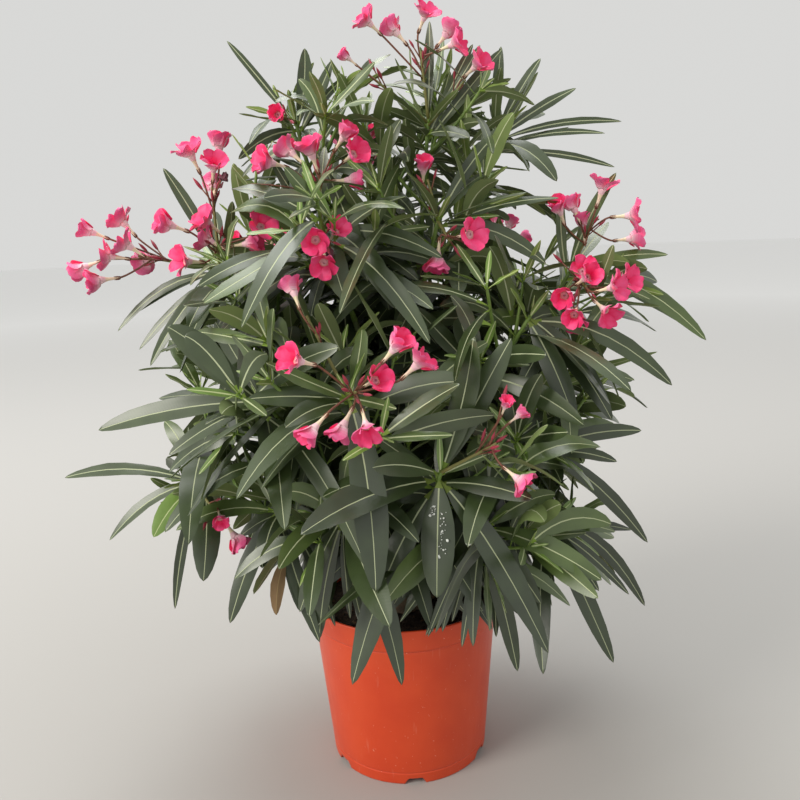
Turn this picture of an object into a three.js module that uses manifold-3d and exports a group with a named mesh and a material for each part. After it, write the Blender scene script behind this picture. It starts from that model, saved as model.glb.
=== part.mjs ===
// Potted oleander: a bushy patio shrub with rose-red blooms in a round plastic nursery pot.
// Millimetres, +Z up. The origin is the centre of the pot's flat underside, and -Y is the show side.
//
// The plant is built as it grows. A short stool stands in the compost. Stems rise from the stool,
// boughs fork from the stems, and each stem and bough ends where it enters a mass of foliage.
// A mass is a leafy leader with side shoots. The leaves stand on the shoots in whorls of three,
// and the blooms stand over them on forked stalks.

import * as THREE from "three";
import { mergeVertices } from "three/addons/utils/BufferGeometryUtils.js";
import Module from "manifold-3d";

const wasm = await Module();
wasm.setup();

// Driving dimensions
const GAP = 0.3; // clearance between two pieces that touch on the real plant
const SHORTEST_EDGE = 0.004; // of the seam where two pieces of a mass are fused

const POT = {
  height: 210,
  baseRadius: 98,
  shoulderRadius: 114, // body just under the rim band
  shoulderHeight: 181,
  bandRadius: 116.7, // foot of the rim band
  rimRadius: 120,
  wall: 3,
  floor: 3,
  facets: 36,
};
const DRAIN = { count: 6, firstAngle: -87, width: 21, height: 8 };
const COMPOST = { height: 192, crown: 3, flatRadius: 60, edgeGap: 1 };

const STOOL = {
  flareRadius: 36,
  flareHeight: 9,
  neckRadius: 27,
  neckHeight: 22,
  topRadius: 31,
  topRound: 7,
  height: 42,
  sides: 12,
};

const LIMB = { sides: 5, steps: 4, pull: 0.38 }; // pull: how far each end holds its direction
const STEM_RADIUS = { foot: 6.2, tip: 3.4 };
const STEM_FOOT = { ring: 19, sunk: 12, splay: 0.35 }; // ring: from the stool's axis
const BOUGH_RADIUS = { foot: 4.6, tip: 3.2 };

const LEADER = { radius: 3.6, tipRadius: 2.4, rise: 0.06 };
const SHOOT = {
  radius: 2.4,
  tipRadius: 2,
  first: 0.2, // where the side shoots leave the leader
  last: 0.8,
  splay: 52,
  splaySpread: 8,
  reach: 0.8, // of the leader's length
  reachSpread: 0.12,
  rise: 0.3,
};
const LEAF = { width: 32, keel: 2.6, widest: 0.45, innerShare: 0.33 };
const LEAF_LINES = [-1, -0.67, -0.33, 0, 0.33, 0.67, 1]; // lines of sample points across a leaf
const OUTLINE_LEAF = { arch: 0.14, facing: 0.6, firstNode: 0.95 };
const WHORL = {
  leaves: 3,
  levels: 3, // on the leader, one fewer on a side shoot
  topNode: 5, // from the shoot's tip
  spacing: 30,
  stagger: 2.4, // between the leaves of one whorl
  turn: 60, // from one whorl to the next
  retry: 24,
  topAngle: 52, // up from square to the shoot
  ageDrop: 30,
  angleSpread: 10,
  youngLength: 0.74, // of a full leaf, at the shoot's tip
  lengthSpread: 0.12,
  droop: 0.16,
  ageDroop: 0.22,
  droopSpread: 0.08,
};
const BLOOM = { radius: 17, notch: 0.6, depth: 20, cup: 4, lobes: 5, stagger: 13, outward: 0.4 };
const STALK = { radius: 1.9, tipRadius: 1.4 };
const TRUSS = { reach: 0.75, firstFork: 0.55, lastFork: 0.97, spacing: 3.5 };
const GROWN_TRUSS = { height: 62, spread: 24, width: 20, widening: 6 }; // where the show side can't see

// The crown's reach: an oval in plan that narrows above its shoulder
const CROWN = {
  middle: [-12, -24],
  halfWidth: 372,
  halfDepth: 262,
  low: 152,
  shoulder: 640,
  top: 905,
  topShare: 0.5, // of the full width, at the top
};

const SAMPLE = 5; // spacing of the sample points over a leaf, stalk or shoot
const CLEARANCE = 8; // between sample points of two masses, wider than the samples' own spacing
const OWN_CLEARANCE = 8; // between the outer parts of one mass's leaves, and its blooms
const LIMB_CLEARANCE = 6;
const POT_CLEARANCE = 5;

// Stems: where each leaves the stool (degrees round it, from +X towards +Y)
const STEMS = {
  "stem-crown": { foot: 62, mass: "crown-top" },
  "stem-top-left": { foot: 165, mass: "crown-left" },
  "stem-top-right": { foot: 10, mass: "crown-right" },
  "stem-left": { foot: 217, mass: "left-upper" },
  "stem-right": { foot: -42, mass: "right-upper" },
  "stem-front": { foot: -93, mass: "front-middle" },
  "stem-back": { foot: 114, mass: "back-high" },
};

// Foliage masses. hub: the leader's tip. lean: the leader's angle from upright, outwards.
// leader: its leafy length. leaf: leaf length. bough: the stem it forks from, and how far up.
// tips: the ends of single long leaves that give the crown its outline.
// blooms: x and z of each bloom of a truss that stands at the depth y.
const MASSES = {
  "crown-top": {
    hub: [50, 0, 775], lean: 6, leader: 125, leaf: 125, shoots: 3,
    tips: [[55, 5, 878], [110, 0, 850], [0, -45, 800]],
    trusses: [
      { y: -10, blooms: [[-15, 875], [15, 870], [50, 880], [75, 865], [82, 848]] },
      { y: -15, blooms: [[-38, 838], [105, 825]] },
    ],
  },
  "crown-left": {
    hub: [-100, 0, 778], lean: 14, leader: 120, leaf: 115, shoots: 3,
    tips: [[-170, 0, 865], [-85, 5, 855], [-160, -40, 735]],
    trusses: [{ y: -60, blooms: [[-110, 775]] }],
  },
  "crown-right": {
    hub: [135, 50, 765], lean: 22, leader: 130, leaf: 130, shoots: 4,
    tips: [[140, 50, 858], [188, 60, 845], [230, 60, 810], [285, 60, 770], [195, 0, 700]],
  },
  "upper-left": {
    hub: [-72, -80, 662], lean: 24, leader: 110, leaf: 135, shoots: 3, bough: ["stem-top-left", 0.55],
    tips: [[5, -150, 575]],
    trusses: [
      { y: -95, blooms: [[-120, 725], [-100, 738], [-75, 735], [-40, 752], [-30, 730], [-35, 705]] },
      { y: -130, blooms: [[-72, 645], [-52, 655], [-65, 622]] },
    ],
  },
  "left-upper": {
    hub: [-188, -55, 625], lean: 36, leader: 140, leaf: 125, shoots: 3,
    tips: [[-240, -50, 728], [-290, -50, 572], [-262, -95, 520]],
    trusses: [
      { y: -60, blooms: [[-205, 742], [-178, 752], [-180, 728], [-188, 708]] },
      { y: -100, blooms: [[-225, 668], [-192, 670], [-212, 630], [-145, 645], [-128, 662]] },
      { y: -60, blooms: [[-320, 665], [-292, 675], [-282, 650], [-342, 625], [-318, 612], [-270, 630]] },
    ],
  },
  "centre": {
    hub: [55, -62, 665], lean: 22, leader: 110, leaf: 140, shoots: 3, bough: ["stem-crown", 0.62],
    tips: [[135, -45, 762], [145, -95, 685], [170, -65, 610]],
    trusses: [
      { y: -60, blooms: [[40, 717]] },
      { y: -105, blooms: [[85, 645], [50, 618]] },
    ],
  },
  "right-upper": {
    hub: [215, 0, 605], lean: 34, leader: 140, leaf: 140, shoots: 3,
    tips: [[325, 0, 612], [358, -40, 515], [255, -30, 705]],
    trusses: [
      { y: -20, blooms: [[190, 670], [212, 672], [240, 692], [225, 652], [275, 658], [282, 632]] },
      { y: -62, blooms: [[188, 575], [207, 545], [235, 555], [215, 600], [257, 590]] },
    ],
  },
  "right-middle": {
    hub: [150, -92, 560], lean: 36, leader: 125, leaf: 145, shoots: 3, bough: ["stem-right", 0.5],
    tips: [[250, -100, 445], [185, -145, 450]],
  },
  "right-side": {
    hub: [212, 25, 470], lean: 52, leader: 125, leaf: 145, shoots: 3, bough: ["stem-top-right", 0.22],
    tips: [[318, 40, 420]],
  },
  "right-low": {
    hub: [178, -75, 318], lean: 66, leader: 110, leaf: 150, shoots: 3, bough: ["stem-right", 0.1],
    tips: [[285, -70, 205], [235, -120, 162], [150, -130, 165]],
  },
  "right-front": {
    hub: [158, -122, 420], lean: 48, leader: 115, leaf: 150, shoots: 3, bough: ["stem-right", 0.27],
    tips: [[258, -130, 435], [277, -100, 297]],
  },
  "left-middle": {
    hub: [-145, -120, 485], lean: 46, leader: 120, leaf: 150, shoots: 3, bough: ["stem-left", 0.35],
    tips: [[-320, -110, 455], [-210, -140, 545], [-120, -172, 400]],
  },
  "left-side": {
    hub: [-205, 30, 490], lean: 50, leader: 125, leaf: 145, shoots: 3, bough: ["stem-top-left", 0.3],
    tips: [[-310, 10, 500]],
  },
  "left-low": {
    hub: [-235, -78, 385], lean: 64, leader: 125, leaf: 140, shoots: 3, bough: ["stem-left", 0.16],
    tips: [[-380, -70, 392], [-330, -90, 322], [-258, -110, 245]],
    trusses: [{ y: -130, blooms: [[-190, 360], [-180, 327]] }],
  },
  "front-middle": {
    hub: [-45, -195, 500], lean: 40, leader: 120, leaf: 145, shoots: 3,
    tips: [[-25, -250, 320], [-140, -200, 500]],
    trusses: [
      { y: -250, blooms: [[-85, 545], [-15, 520], [5, 555], [25, 535], [-75, 480], [-50, 475], [-25, 480]] },
      { y: -150, blooms: [[-95, 600]] },
    ],
  },
  "front-low": {
    hub: [42, -200, 420], lean: 46, leader: 115, leaf: 165, shoots: 2, bough: ["stem-front", 0.3],
    tips: [[75, -215, 552], [112, -200, 548], [30, -272, 320], [142, -222, 235], [-90, -262, 385]],
    trusses: [{ y: -210, blooms: [[105, 500], [120, 480], [115, 428]] }],
  },
  "front-left-low": {
    hub: [-62, -168, 368], lean: 50, leader: 100, leaf: 155, shoots: 2, bough: ["stem-front", 0.2],
    tips: [[-55, -215, 205], [-5, -205, 196], [-110, -165, 262]],
  },
  "front-right-low": {
    hub: [92, -150, 345], lean: 52, leader: 100, leaf: 150, shoots: 2, bough: ["stem-front", 0.12],
    tips: [[60, -190, 215], [145, -165, 260]],
  },
  "left-bottom": {
    hub: [-138, -118, 360], lean: 56, leader: 110, leaf: 145, shoots: 3, bough: ["stem-left", 0.08],
    tips: [[-188, -150, 245], [-90, -172, 230]],
  },
  "back-high": {
    hub: [-25, 95, 700], lean: 22, leader: 125, leaf: 140, shoots: 4, grown: 4,
  },
  "back-left": {
    hub: [-140, 100, 585], lean: 36, leader: 125, leaf: 145, shoots: 3, bough: ["stem-top-left", 0.45], grown: 5,
  },
  "back-right": {
    hub: [120, 135, 590], lean: 36, leader: 125, leaf: 145, shoots: 3, bough: ["stem-top-right", 0.42], grown: 4,
  },
  "back-middle": {
    hub: [-15, 165, 520], lean: 44, leader: 120, leaf: 150, shoots: 4, bough: ["stem-back", 0.42], grown: 3,
  },
  "back-left-low": {
    hub: [-155, 115, 380], lean: 56, leader: 120, leaf: 150, shoots: 3, bough: ["stem-top-left", 0.1],
    tips: [[-245, 190, 265], [-150, 215, 240]],
  },
  "back-right-low": {
    hub: [165, 110, 385], lean: 56, leader: 120, leaf: 150, shoots: 3, bough: ["stem-top-right", 0.08],
    tips: [[262, 180, 270], [165, 215, 240]],
  },
  "back-low": {
    hub: [5, 185, 365], lean: 54, leader: 115, leaf: 155, shoots: 3, bough: ["stem-back", 0.12],
    tips: [[-40, 245, 210], [60, 245, 225]],
  },
};

const COLOURS = {
  terracotta: 0xc9492d,
  compost: 0x3a2a20,
  bark: 0x6e5a45,
  foliage: [0x35543a, 0x3f6140, 0x2f4c36, 0x486b45],
};

const UP = new THREE.Vector3(0, 0, 1);
const SLANT = new THREE.Vector3(0.3, 1, 0.2); // no bloom faces this way
const GOLDEN_TURN = 137.5;

const radians = THREE.MathUtils.degToRad;
const vector = ([x, y, z]) => new THREE.Vector3(x, y, z);
const polar = (degrees) => new THREE.Vector3(Math.cos(radians(degrees)), Math.sin(radians(degrees)), 0);
const along = (point, direction, distance) => point.clone().addScaledVector(direction, distance);

// A repeatable number from 0 to 1 for each set of whole numbers
function chance(...keys) {
  const weights = [12.9898, 78.233, 37.719, 9.151, 51.37];
  const sum = keys.reduce((total, key, i) => total + (key + 1) * weights[i], 0);
  const value = Math.sin(sum) * 43758.5453;
  return value - Math.floor(value);
}
const spread = (amount, ...keys) => amount * (2 * chance(...keys) - 1);

// Horizontal direction from the pot's axis out to a point
function outward(point) {
  return new THREE.Vector3(point.x, point.y, 0).normalize();
}

// Solids and geometries
function toSolid(geometry) {
  const bare = geometry.clone();
  bare.deleteAttribute("normal");
  bare.deleteAttribute("uv");
  const merged = mergeVertices(bare, 1e-4);
  return new wasm.Manifold(new wasm.Mesh({
    numProp: 3,
    vertProperties: new Float32Array(merged.attributes.position.array),
    triVerts: new Uint32Array(merged.index.array),
  }));
}

function toGeometry(solid) {
  const mesh = solid.getMesh();
  const geometry = new THREE.BufferGeometry();
  geometry.setAttribute("position", new THREE.BufferAttribute(mesh.vertProperties, 3));
  geometry.setIndex(new THREE.BufferAttribute(mesh.triVerts, 1));
  geometry.computeVertexNormals();
  return geometry;
}

// The outer skin of a solid: a hollow that fusing seals is filled, a loose scrap is dropped
function outerSkin(solid) {
  const { vertProperties: points, triVerts: corners } = solid.getMesh();
  const parent = Array.from({ length: points.length / 3 }, (unused, i) => i);
  const rootOf = (i) => {
    let root = i;
    while (parent[root] !== root) root = parent[root];
    parent[i] = root;
    return root;
  };
  for (let i = 0; i < corners.length; i += 3) {
    parent[rootOf(corners[i + 1])] = rootOf(corners[i]);
    parent[rootOf(corners[i + 2])] = rootOf(corners[i]);
  }
  const shells = new Map();
  for (let i = 0; i < corners.length; i += 3) {
    const root = rootOf(corners[i]);
    if (!shells.has(root)) shells.set(root, []);
    shells.get(root).push(corners[i], corners[i + 1], corners[i + 2]);
  }
  const largest = [...shells.values()].reduce((a, b) => (a.length > b.length ? a : b));
  return new wasm.Manifold(new wasm.Mesh({
    numProp: 3, vertProperties: points, triVerts: new Uint32Array(largest),
  }));
}

function shortestEdge(solid) {
  const { vertProperties: points, triVerts: corners } = solid.getMesh();
  let shortest = Infinity;
  for (let i = 0; i < corners.length; i += 1) {
    const a = 3 * corners[i];
    const b = 3 * corners[i % 3 === 2 ? i - 2 : i + 1];
    const sides = [0, 1, 2].map((axis) => points[a + axis] - points[b + axis]);
    shortest = Math.min(shortest, Math.hypot(...sides));
  }
  return shortest;
}

// Pieces are joined one by one, and one whose seam would have too short an edge is left off
function fuse(geometries) {
  return geometries.map(toSolid).reduce((whole, part) => {
    const joined = whole.add(part);
    return shortestEdge(joined) < SHORTEST_EDGE ? whole : joined;
  });
}

function facesGeometry(points, faces) {
  const geometry = new THREE.BufferGeometry();
  geometry.setAttribute("position", new THREE.Float32BufferAttribute(points.flatMap((p) => p.toArray()), 3));
  geometry.setIndex(faces.flat());
  return geometry;
}

// A closed tube along a curve, its radius going evenly from one end's to the other's
function taperedTube(curve, footRadius, tipRadius, sides, steps) {
  const frames = curve.computeFrenetFrames(steps, false);
  const points = [];
  for (let i = 0; i <= steps; i += 1) {
    const centre = curve.getPointAt(i / steps);
    const radius = THREE.MathUtils.lerp(footRadius, tipRadius, i / steps);
    for (let j = 0; j < sides; j += 1) {
      const turn = (2 * Math.PI * j) / sides;
      const point = along(centre, frames.normals[i], radius * Math.cos(turn));
      points.push(point.addScaledVector(frames.binormals[i], radius * Math.sin(turn)));
    }
  }
  const faces = [];
  for (let i = 0; i < steps; i += 1) {
    for (let j = 0; j < sides; j += 1) {
      const a = i * sides + j;
      const b = i * sides + ((j + 1) % sides);
      faces.push([a, b, b + sides], [a, b + sides, a + sides]);
    }
  }
  for (let j = 1; j < sides - 1; j += 1) {
    const last = steps * sides;
    faces.push([0, j + 1, j], [last, last + j, last + j + 1]);
  }
  return facesGeometry(points, faces);
}

// Two apexes joined to a ring of points between them
function spindle(foot, ring, tip) {
  const count = ring.length;
  const faces = [];
  for (let j = 0; j < count; j += 1) {
    const next = (j + 1) % count;
    faces.push([count, next, j], [count + 1, j, next]);
  }
  return facesGeometry([...ring, foot, tip], faces);
}

// The pot and what it holds
function bodyRadius(height) {
  const share = height / POT.shoulderHeight;
  return THREE.MathUtils.lerp(POT.baseRadius, POT.shoulderRadius, share);
}

function potSolid() {
  const { height, wall, floor, shoulderHeight, shoulderRadius, bandRadius, rimRadius } = POT;
  const footRound = 4;
  const groove = { height: 15, depth: 1.2, half: 1.5 };
  const outside = [
    [bodyRadius(0) - footRound, 0],
    [bodyRadius(0) - footRound * 0.3, footRound * 0.3],
    [bodyRadius(footRound), footRound],
    [bodyRadius(groove.height), groove.height - groove.half],
    [bodyRadius(groove.height) - groove.depth, groove.height],
    [bodyRadius(groove.height), groove.height + groove.half],
    [shoulderRadius, shoulderHeight],
    [bandRadius, shoulderHeight + 1.5],
    [rimRadius, height],
  ];
  const inside = [
    [rimRadius - wall, height],
    [bandRadius - wall, shoulderHeight + 2],
    [bodyRadius(shoulderHeight) - wall, shoulderHeight],
    [bodyRadius(floor) - wall, floor],
  ];
  const profile = [[0, 0], ...outside, ...inside, [0, floor]].map(([r, z]) => new THREE.Vector2(r, z));
  const shell = new THREE.LatheGeometry(profile, POT.facets).rotateX(Math.PI / 2);
  let solid = toSolid(shell);
  for (let i = 0; i < DRAIN.count; i += 1) {
    const notch = new THREE.BoxGeometry(2 * (wall + footRound + 2), DRAIN.width, 2 * DRAIN.height);
    notch.translate(POT.baseRadius, 0, 0);
    notch.rotateZ(radians(DRAIN.firstAngle + (360 * i) / DRAIN.count));
    solid = solid.subtract(toSolid(notch));
  }
  return solid;
}

function compostSolid() {
  const bottom = POT.floor + GAP;
  const fit = POT.wall + GAP;
  const profile = [
    [0, bottom],
    [bodyRadius(bottom) - fit, bottom],
    [bodyRadius(POT.shoulderHeight) - fit, POT.shoulderHeight - GAP],
    [POT.bandRadius - fit - COMPOST.edgeGap, COMPOST.height - COMPOST.crown],
    [COMPOST.flatRadius, COMPOST.height],
    [0, COMPOST.height],
  ].map(([r, z]) => new THREE.Vector2(r, z));
  return toSolid(new THREE.LatheGeometry(profile, POT.facets).rotateX(Math.PI / 2));
}

// The stool: the old wood at the foot, flared where it meets the compost
function stoolSolid(grow = 0) {
  const foot = COMPOST.height + GAP - grow;
  const top = COMPOST.height + STOOL.height + grow;
  const profile = [
    [0, foot],
    [STOOL.flareRadius + grow, foot],
    [STOOL.neckRadius + 3 + grow, foot + STOOL.flareHeight],
    [STOOL.neckRadius + grow, foot + STOOL.neckHeight],
    [STOOL.topRadius + grow, top - STOOL.topRound],
    [STOOL.topRadius - STOOL.topRound + grow, top],
    [0, top],
  ].map(([r, z]) => new THREE.Vector2(r, z));
  return toSolid(new THREE.LatheGeometry(profile, STOOL.sides).rotateX(Math.PI / 2));
}

// Where each mass's leader starts, points and ends
function leaderOf(name) {
  const mass = MASSES[name];
  const hub = vector(mass.hub);
  const direction = outward(hub).multiplyScalar(Math.sin(radians(mass.lean)));
  direction.addScaledVector(UP, Math.cos(radians(mass.lean)));
  const rise = LEADER.rise;
  const foot = along(along(hub, direction, -mass.leader), UP, -rise * mass.leader);
  return { foot, direction, length: mass.leader, rise };
}

// A shoot runs out along its direction and curves upwards by its rise
function shootPoint(shoot, share) {
  const point = along(shoot.foot, shoot.direction, shoot.length * share);
  return point.addScaledVector(UP, shoot.rise * shoot.length * share * share);
}

function shootDirection(shoot, share) {
  return along(shoot.direction, UP, 2 * shoot.rise * share).normalize();
}

// Stems and boughs: each is one tapering limb that ends just under its mass's leader
function limbCurve(start, startDirection, leader) {
  const end = along(leader.foot, shootDirection(leader, 0), -GAP);
  const pull = LIMB.pull * start.distanceTo(end);
  return new THREE.CubicBezierCurve3(
    start, along(start, startDirection, pull), along(end, leader.direction, -pull), end,
  );
}

const limbs = {}; // name: curve, its two radii and the solid
function addLimb(name, curve, radius, neighbour) {
  const tube = toSolid(taperedTube(curve, radius.foot, radius.tip, LIMB.sides, LIMB.steps));
  limbs[name] = { curve, radius, solid: outerSkin(tube.subtract(neighbour)) };
}

function stemSolidFat(stem) {
  const { curve, radius } = limbs[stem];
  const fat = 1.6 * GAP; // the flats of a five-sided tube stand nearer its axis than its corners
  return toSolid(taperedTube(curve, radius.foot + fat, radius.tip + fat, LIMB.sides, LIMB.steps));
}

for (const [name, stem] of Object.entries(STEMS)) {
  const foot = polar(stem.foot).multiplyScalar(STEM_FOOT.ring);
  foot.z = COMPOST.height + STOOL.height - STEM_FOOT.sunk;
  const start = along(UP, polar(stem.foot), STEM_FOOT.splay).normalize();
  addLimb(name, limbCurve(foot, start, leaderOf(stem.mass)), STEM_RADIUS, stoolSolid(GAP));
}

for (const [name, mass] of Object.entries(MASSES)) {
  if (mass.bough) {
    const [stem, share] = mass.bough;
    const leader = leaderOf(name);
    const foot = limbs[stem].curve.getPointAt(share);
    const away = leader.foot.clone().sub(foot).normalize();
    const start = limbs[stem].curve.getTangentAt(share).add(away).normalize();
    addLimb(`bough-${name}`, limbCurve(foot, start, leader), BOUGH_RADIUS, stemSolidFat(stem));
  }
}

// Space keeping: each mass keeps its own space, clear of the others, the limbs and the pot
const taken = new Map(); // cell: list of [mass number, point]
const cellOf = (point) => point.toArray().map((c) => Math.floor(c / CLEARANCE));

function claim(owner, points) {
  for (const point of points) {
    const key = cellOf(point).join();
    if (!taken.has(key)) taken.set(key, []);
    taken.get(key).push([owner, point]);
  }
}

function nearTaken(point, isMeant, distance) {
  const [i, j, k] = cellOf(point);
  for (let a = i - 1; a <= i + 1; a += 1) {
    for (let b = j - 1; b <= j + 1; b += 1) {
      for (let c = k - 1; c <= k + 1; c += 1) {
        const found = taken.get([a, b, c].join()) ?? [];
        if (found.some(([other, p]) => isMeant(other) && p.distanceTo(point) < distance)) return true;
      }
    }
  }
  return false;
}

const nearOthers = (owner, point) => nearTaken(point, (other) => other !== owner, CLEARANCE);
const nearOwn = (owner, point) => nearTaken(point, (other) => other === owner, OWN_CLEARANCE);

const limbPoints = Object.values(limbs).flatMap(({ curve, radius }) => {
  const count = Math.ceil(curve.getLength() / LIMB_CLEARANCE);
  return curve.getSpacedPoints(count).map((point, i) => (
    { point, radius: THREE.MathUtils.lerp(radius.foot, radius.tip, i / count) }
  ));
});

function touchesLimb(point) {
  return limbPoints.some((limb) => limb.point.distanceTo(point) < limb.radius + LIMB_CLEARANCE);
}

function touchesPot(point) {
  const beside = Math.hypot(point.x, point.y) < POT.rimRadius + POT_CLEARANCE;
  return beside && point.z < POT.height + POT_CLEARANCE;
}

function leavesCrown(point) {
  const rise = THREE.MathUtils.clamp((point.z - CROWN.shoulder) / (CROWN.top - CROWN.shoulder), 0, 1);
  const share = THREE.MathUtils.lerp(1, CROWN.topShare, rise * rise);
  const across = (point.x - CROWN.middle[0]) / (CROWN.halfWidth * share);
  const deep = (point.y - CROWN.middle[1]) / (CROWN.halfDepth * share);
  return point.z < CROWN.low || point.z > CROWN.top || Math.hypot(across, deep) > 1;
}

function isFree(owner, points) {
  return !points.some((point) => touchesPot(point) || nearOthers(owner, point) || touchesLimb(point));
}

// Points spaced over a line of corners
function samplesAlong(corners) {
  const path = new THREE.CurvePath();
  for (let i = 1; i < corners.length; i += 1) path.add(new THREE.LineCurve3(corners[i - 1], corners[i]));
  return path.getSpacedPoints(Math.ceil(path.getLength() / SAMPLE));
}

// A leaf: a long kite with a keel under its midrib, arched at its widest place
function makeLeaf(foot, middle, tip, across) {
  const half = LEAF.width / 2;
  const under = across.clone().cross(tip.clone().sub(foot)).normalize();
  const ring = [along(middle, across, -half), along(middle, under, LEAF.keel), along(middle, across, half)];
  const lines = LEAF_LINES.map((side) => (
    samplesAlong([foot, along(middle, across, side * half), tip])
  ));
  return {
    solid: spindle(foot, ring, tip),
    points: lines.flatMap((line) => line.slice(2)),
    outer: lines.flatMap((line) => line.slice(Math.ceil(LEAF.innerShare * line.length))),
  };
}

// A leaf of a whorl leaves its shoot at an angle, and its own weight bends it down
function whorlLeaf(node, radial, shootAxis, angle, length, droop) {
  const direction = radial.clone().multiplyScalar(Math.cos(angle)).addScaledVector(shootAxis, Math.sin(angle));
  const at = (share) => along(along(node, direction, length * share), UP, -droop * length * share * share);
  const across = new THREE.Vector3().crossVectors(shootAxis, radial).normalize();
  return makeLeaf(node, at(LEAF.widest), at(1), across);
}

// A leaf whose tip is known arches over between its node and that tip
function outlineLeaf(node, tip) {
  const chord = tip.clone().sub(node);
  const face = along(UP, outward(node), OUTLINE_LEAF.facing);
  const across = chord.clone().cross(face).normalize();
  const arch = OUTLINE_LEAF.arch * Math.hypot(chord.x, chord.y);
  const middle = along(along(node, chord, LEAF.widest), UP, arch);
  return makeLeaf(node, middle, tip, across);
}

// A shoot: the leader, or a side shoot that leaves it by the golden turn
function sideShoot(leader, owner, number, count) {
  const share = THREE.MathUtils.lerp(SHOOT.first, SHOOT.last, (number + 0.5) / count);
  const axis = shootDirection(leader, share);
  const flat = new THREE.Vector3().crossVectors(axis, UP).normalize();
  const turn = radians(GOLDEN_TURN * number + 360 * chance(owner, number));
  const radial = flat.applyAxisAngle(axis, turn);
  const splay = radians(SHOOT.splay + spread(SHOOT.splaySpread, owner, number, 1));
  const direction = axis.multiplyScalar(Math.cos(splay)).addScaledVector(radial, Math.sin(splay));
  const length = leader.length * SHOOT.reach * (1 + spread(SHOOT.reachSpread, owner, number, 2));
  return { foot: shootPoint(leader, share), direction, length, rise: SHOOT.rise };
}

function shootSolid(shoot, size) {
  const points = [0, 0.5, 1].map((share) => shootPoint(shoot, share));
  const curve = new THREE.QuadraticBezierCurve3(
    points[0], along(points[0], shoot.direction, shoot.length / 2), points[2],
  );
  return taperedTube(curve, size.radius, size.tipRadius, 3, 2);
}

function toStalk(from, to) {
  return taperedTube(new THREE.LineCurve3(from, to), STALK.radius, STALK.tipRadius, 3, 1);
}

// A bloom on its stalk: a stalk that widens to its neck, a short funnel, and five lobes round a cup
function bloomSolid(foot, centre, facing) {
  const flat = new THREE.Vector3().crossVectors(facing, SLANT).normalize();
  const spoke = (turn, radius) => flat.clone().applyAxisAngle(facing, turn).multiplyScalar(radius);
  const edges = 2 * BLOOM.lobes;
  const neck = along(centre, facing, -BLOOM.depth);
  const points = [foot, along(centre, facing, -BLOOM.cup)];
  for (let i = 0; i < 3; i += 1) points.push(neck.clone().add(spoke((2 * Math.PI * i) / 3, STALK.radius)));
  for (let i = 0; i < edges; i += 1) {
    const radius = i % 2 ? BLOOM.radius * BLOOM.notch : BLOOM.radius;
    points.push(centre.clone().add(spoke((2 * Math.PI * i) / edges, radius)));
  }
  const nearest = (i) => 2 + (Math.round((3 * i) / edges) % 3);
  const faces = [0, 1, 2].map((i) => [0, 2 + ((i + 1) % 3), 2 + i]);
  for (let i = 0; i < edges; i += 1) {
    const a = 5 + i;
    const b = 5 + ((i + 1) % edges);
    faces.push([1, a, b], [nearest(i), b, a]);
    if (nearest(i) !== nearest(i + 1)) faces.push([nearest(i), nearest(i + 1), b]);
  }
  return facesGeometry(points, faces);
}

// A truss: a main stalk from the leader's tip towards the blooms' middle, with a bloom's own
// stalk leaving it at every few millimetres of its outer half
function trussParts(hub, centres) {
  const middle = centres.reduce((sum, c) => sum.add(c), new THREE.Vector3()).divideScalar(centres.length);
  const end = hub.clone().lerp(middle, TRUSS.reach);
  const parts = [toStalk(hub, end)];
  const points = samplesAlong([hub, end]).slice(1);
  centres.forEach((centre, i) => {
    const fork = THREE.MathUtils.lerp(TRUSS.firstFork, TRUSS.lastFork, (i + 0.5) / centres.length);
    const foot = hub.clone().lerp(end, fork);
    const away = centre.clone().sub(foot).normalize();
    const facing = along(away, outward(centre), BLOOM.outward).normalize();
    parts.push(bloomSolid(foot, centre, facing));
    points.push(...samplesAlong([foot, along(centre, facing, -BLOOM.depth), centre]));
    const flat = new THREE.Vector3().crossVectors(facing, UP).normalize();
    for (let j = 0; j < BLOOM.lobes; j += 1) {
      const spoke = flat.clone().applyAxisAngle(facing, (2 * Math.PI * j) / BLOOM.lobes);
      points.push(along(centre, spoke, BLOOM.radius * 0.5), along(centre, spoke, BLOOM.radius));
    }
  });
  return { parts, points };
}

// Blooms of a mass that the show side hides: a loose fan over its leader
function grownBlooms(owner, leader, count) {
  const hub = shootPoint(leader, 1);
  const axis = shootDirection(leader, 1);
  const flat = new THREE.Vector3().crossVectors(axis, UP).normalize();
  return Array.from({ length: count }, (unused, i) => {
    const spoke = flat.clone().applyAxisAngle(axis, radians(GOLDEN_TURN * i));
    const height = GROWN_TRUSS.height + GROWN_TRUSS.spread * chance(owner, i, 3);
    return along(along(hub, axis, height), spoke, GROWN_TRUSS.width + GROWN_TRUSS.widening * i);
  });
}

// Every mass's wood and blooms are placed first, then the leaves, a whorl of each mass in turn
const masses = Object.entries(MASSES).map(([name, mass], owner) => {
  const leader = leaderOf(name);
  const hub = shootPoint(leader, 1);
  const parts = [shootSolid(leader, LEADER)];
  claim(owner, samplesAlong([0, 0.5, 1].map((share) => shootPoint(leader, share))));
  return { name, mass, owner, leader, hub, parts, shoots: [leader] };
});

for (const { mass, owner, leader, hub, parts } of masses) {
  const trusses = (mass.trusses ?? []).map(({ y, blooms }) => (
    blooms.map(([x, z], i) => new THREE.Vector3(x, y + BLOOM.stagger * (i % 2 ? 1 : -1), z))
  ));
  if (mass.grown) trusses.push(grownBlooms(owner, leader, mass.grown));
  trusses.forEach((centres, i) => {
    const foot = along(hub, shootDirection(leader, 1), -TRUSS.spacing * (i + 0.5));
    const truss = trussParts(foot, centres);
    parts.push(...truss.parts);
    claim(owner, truss.points);
  });
}

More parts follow.
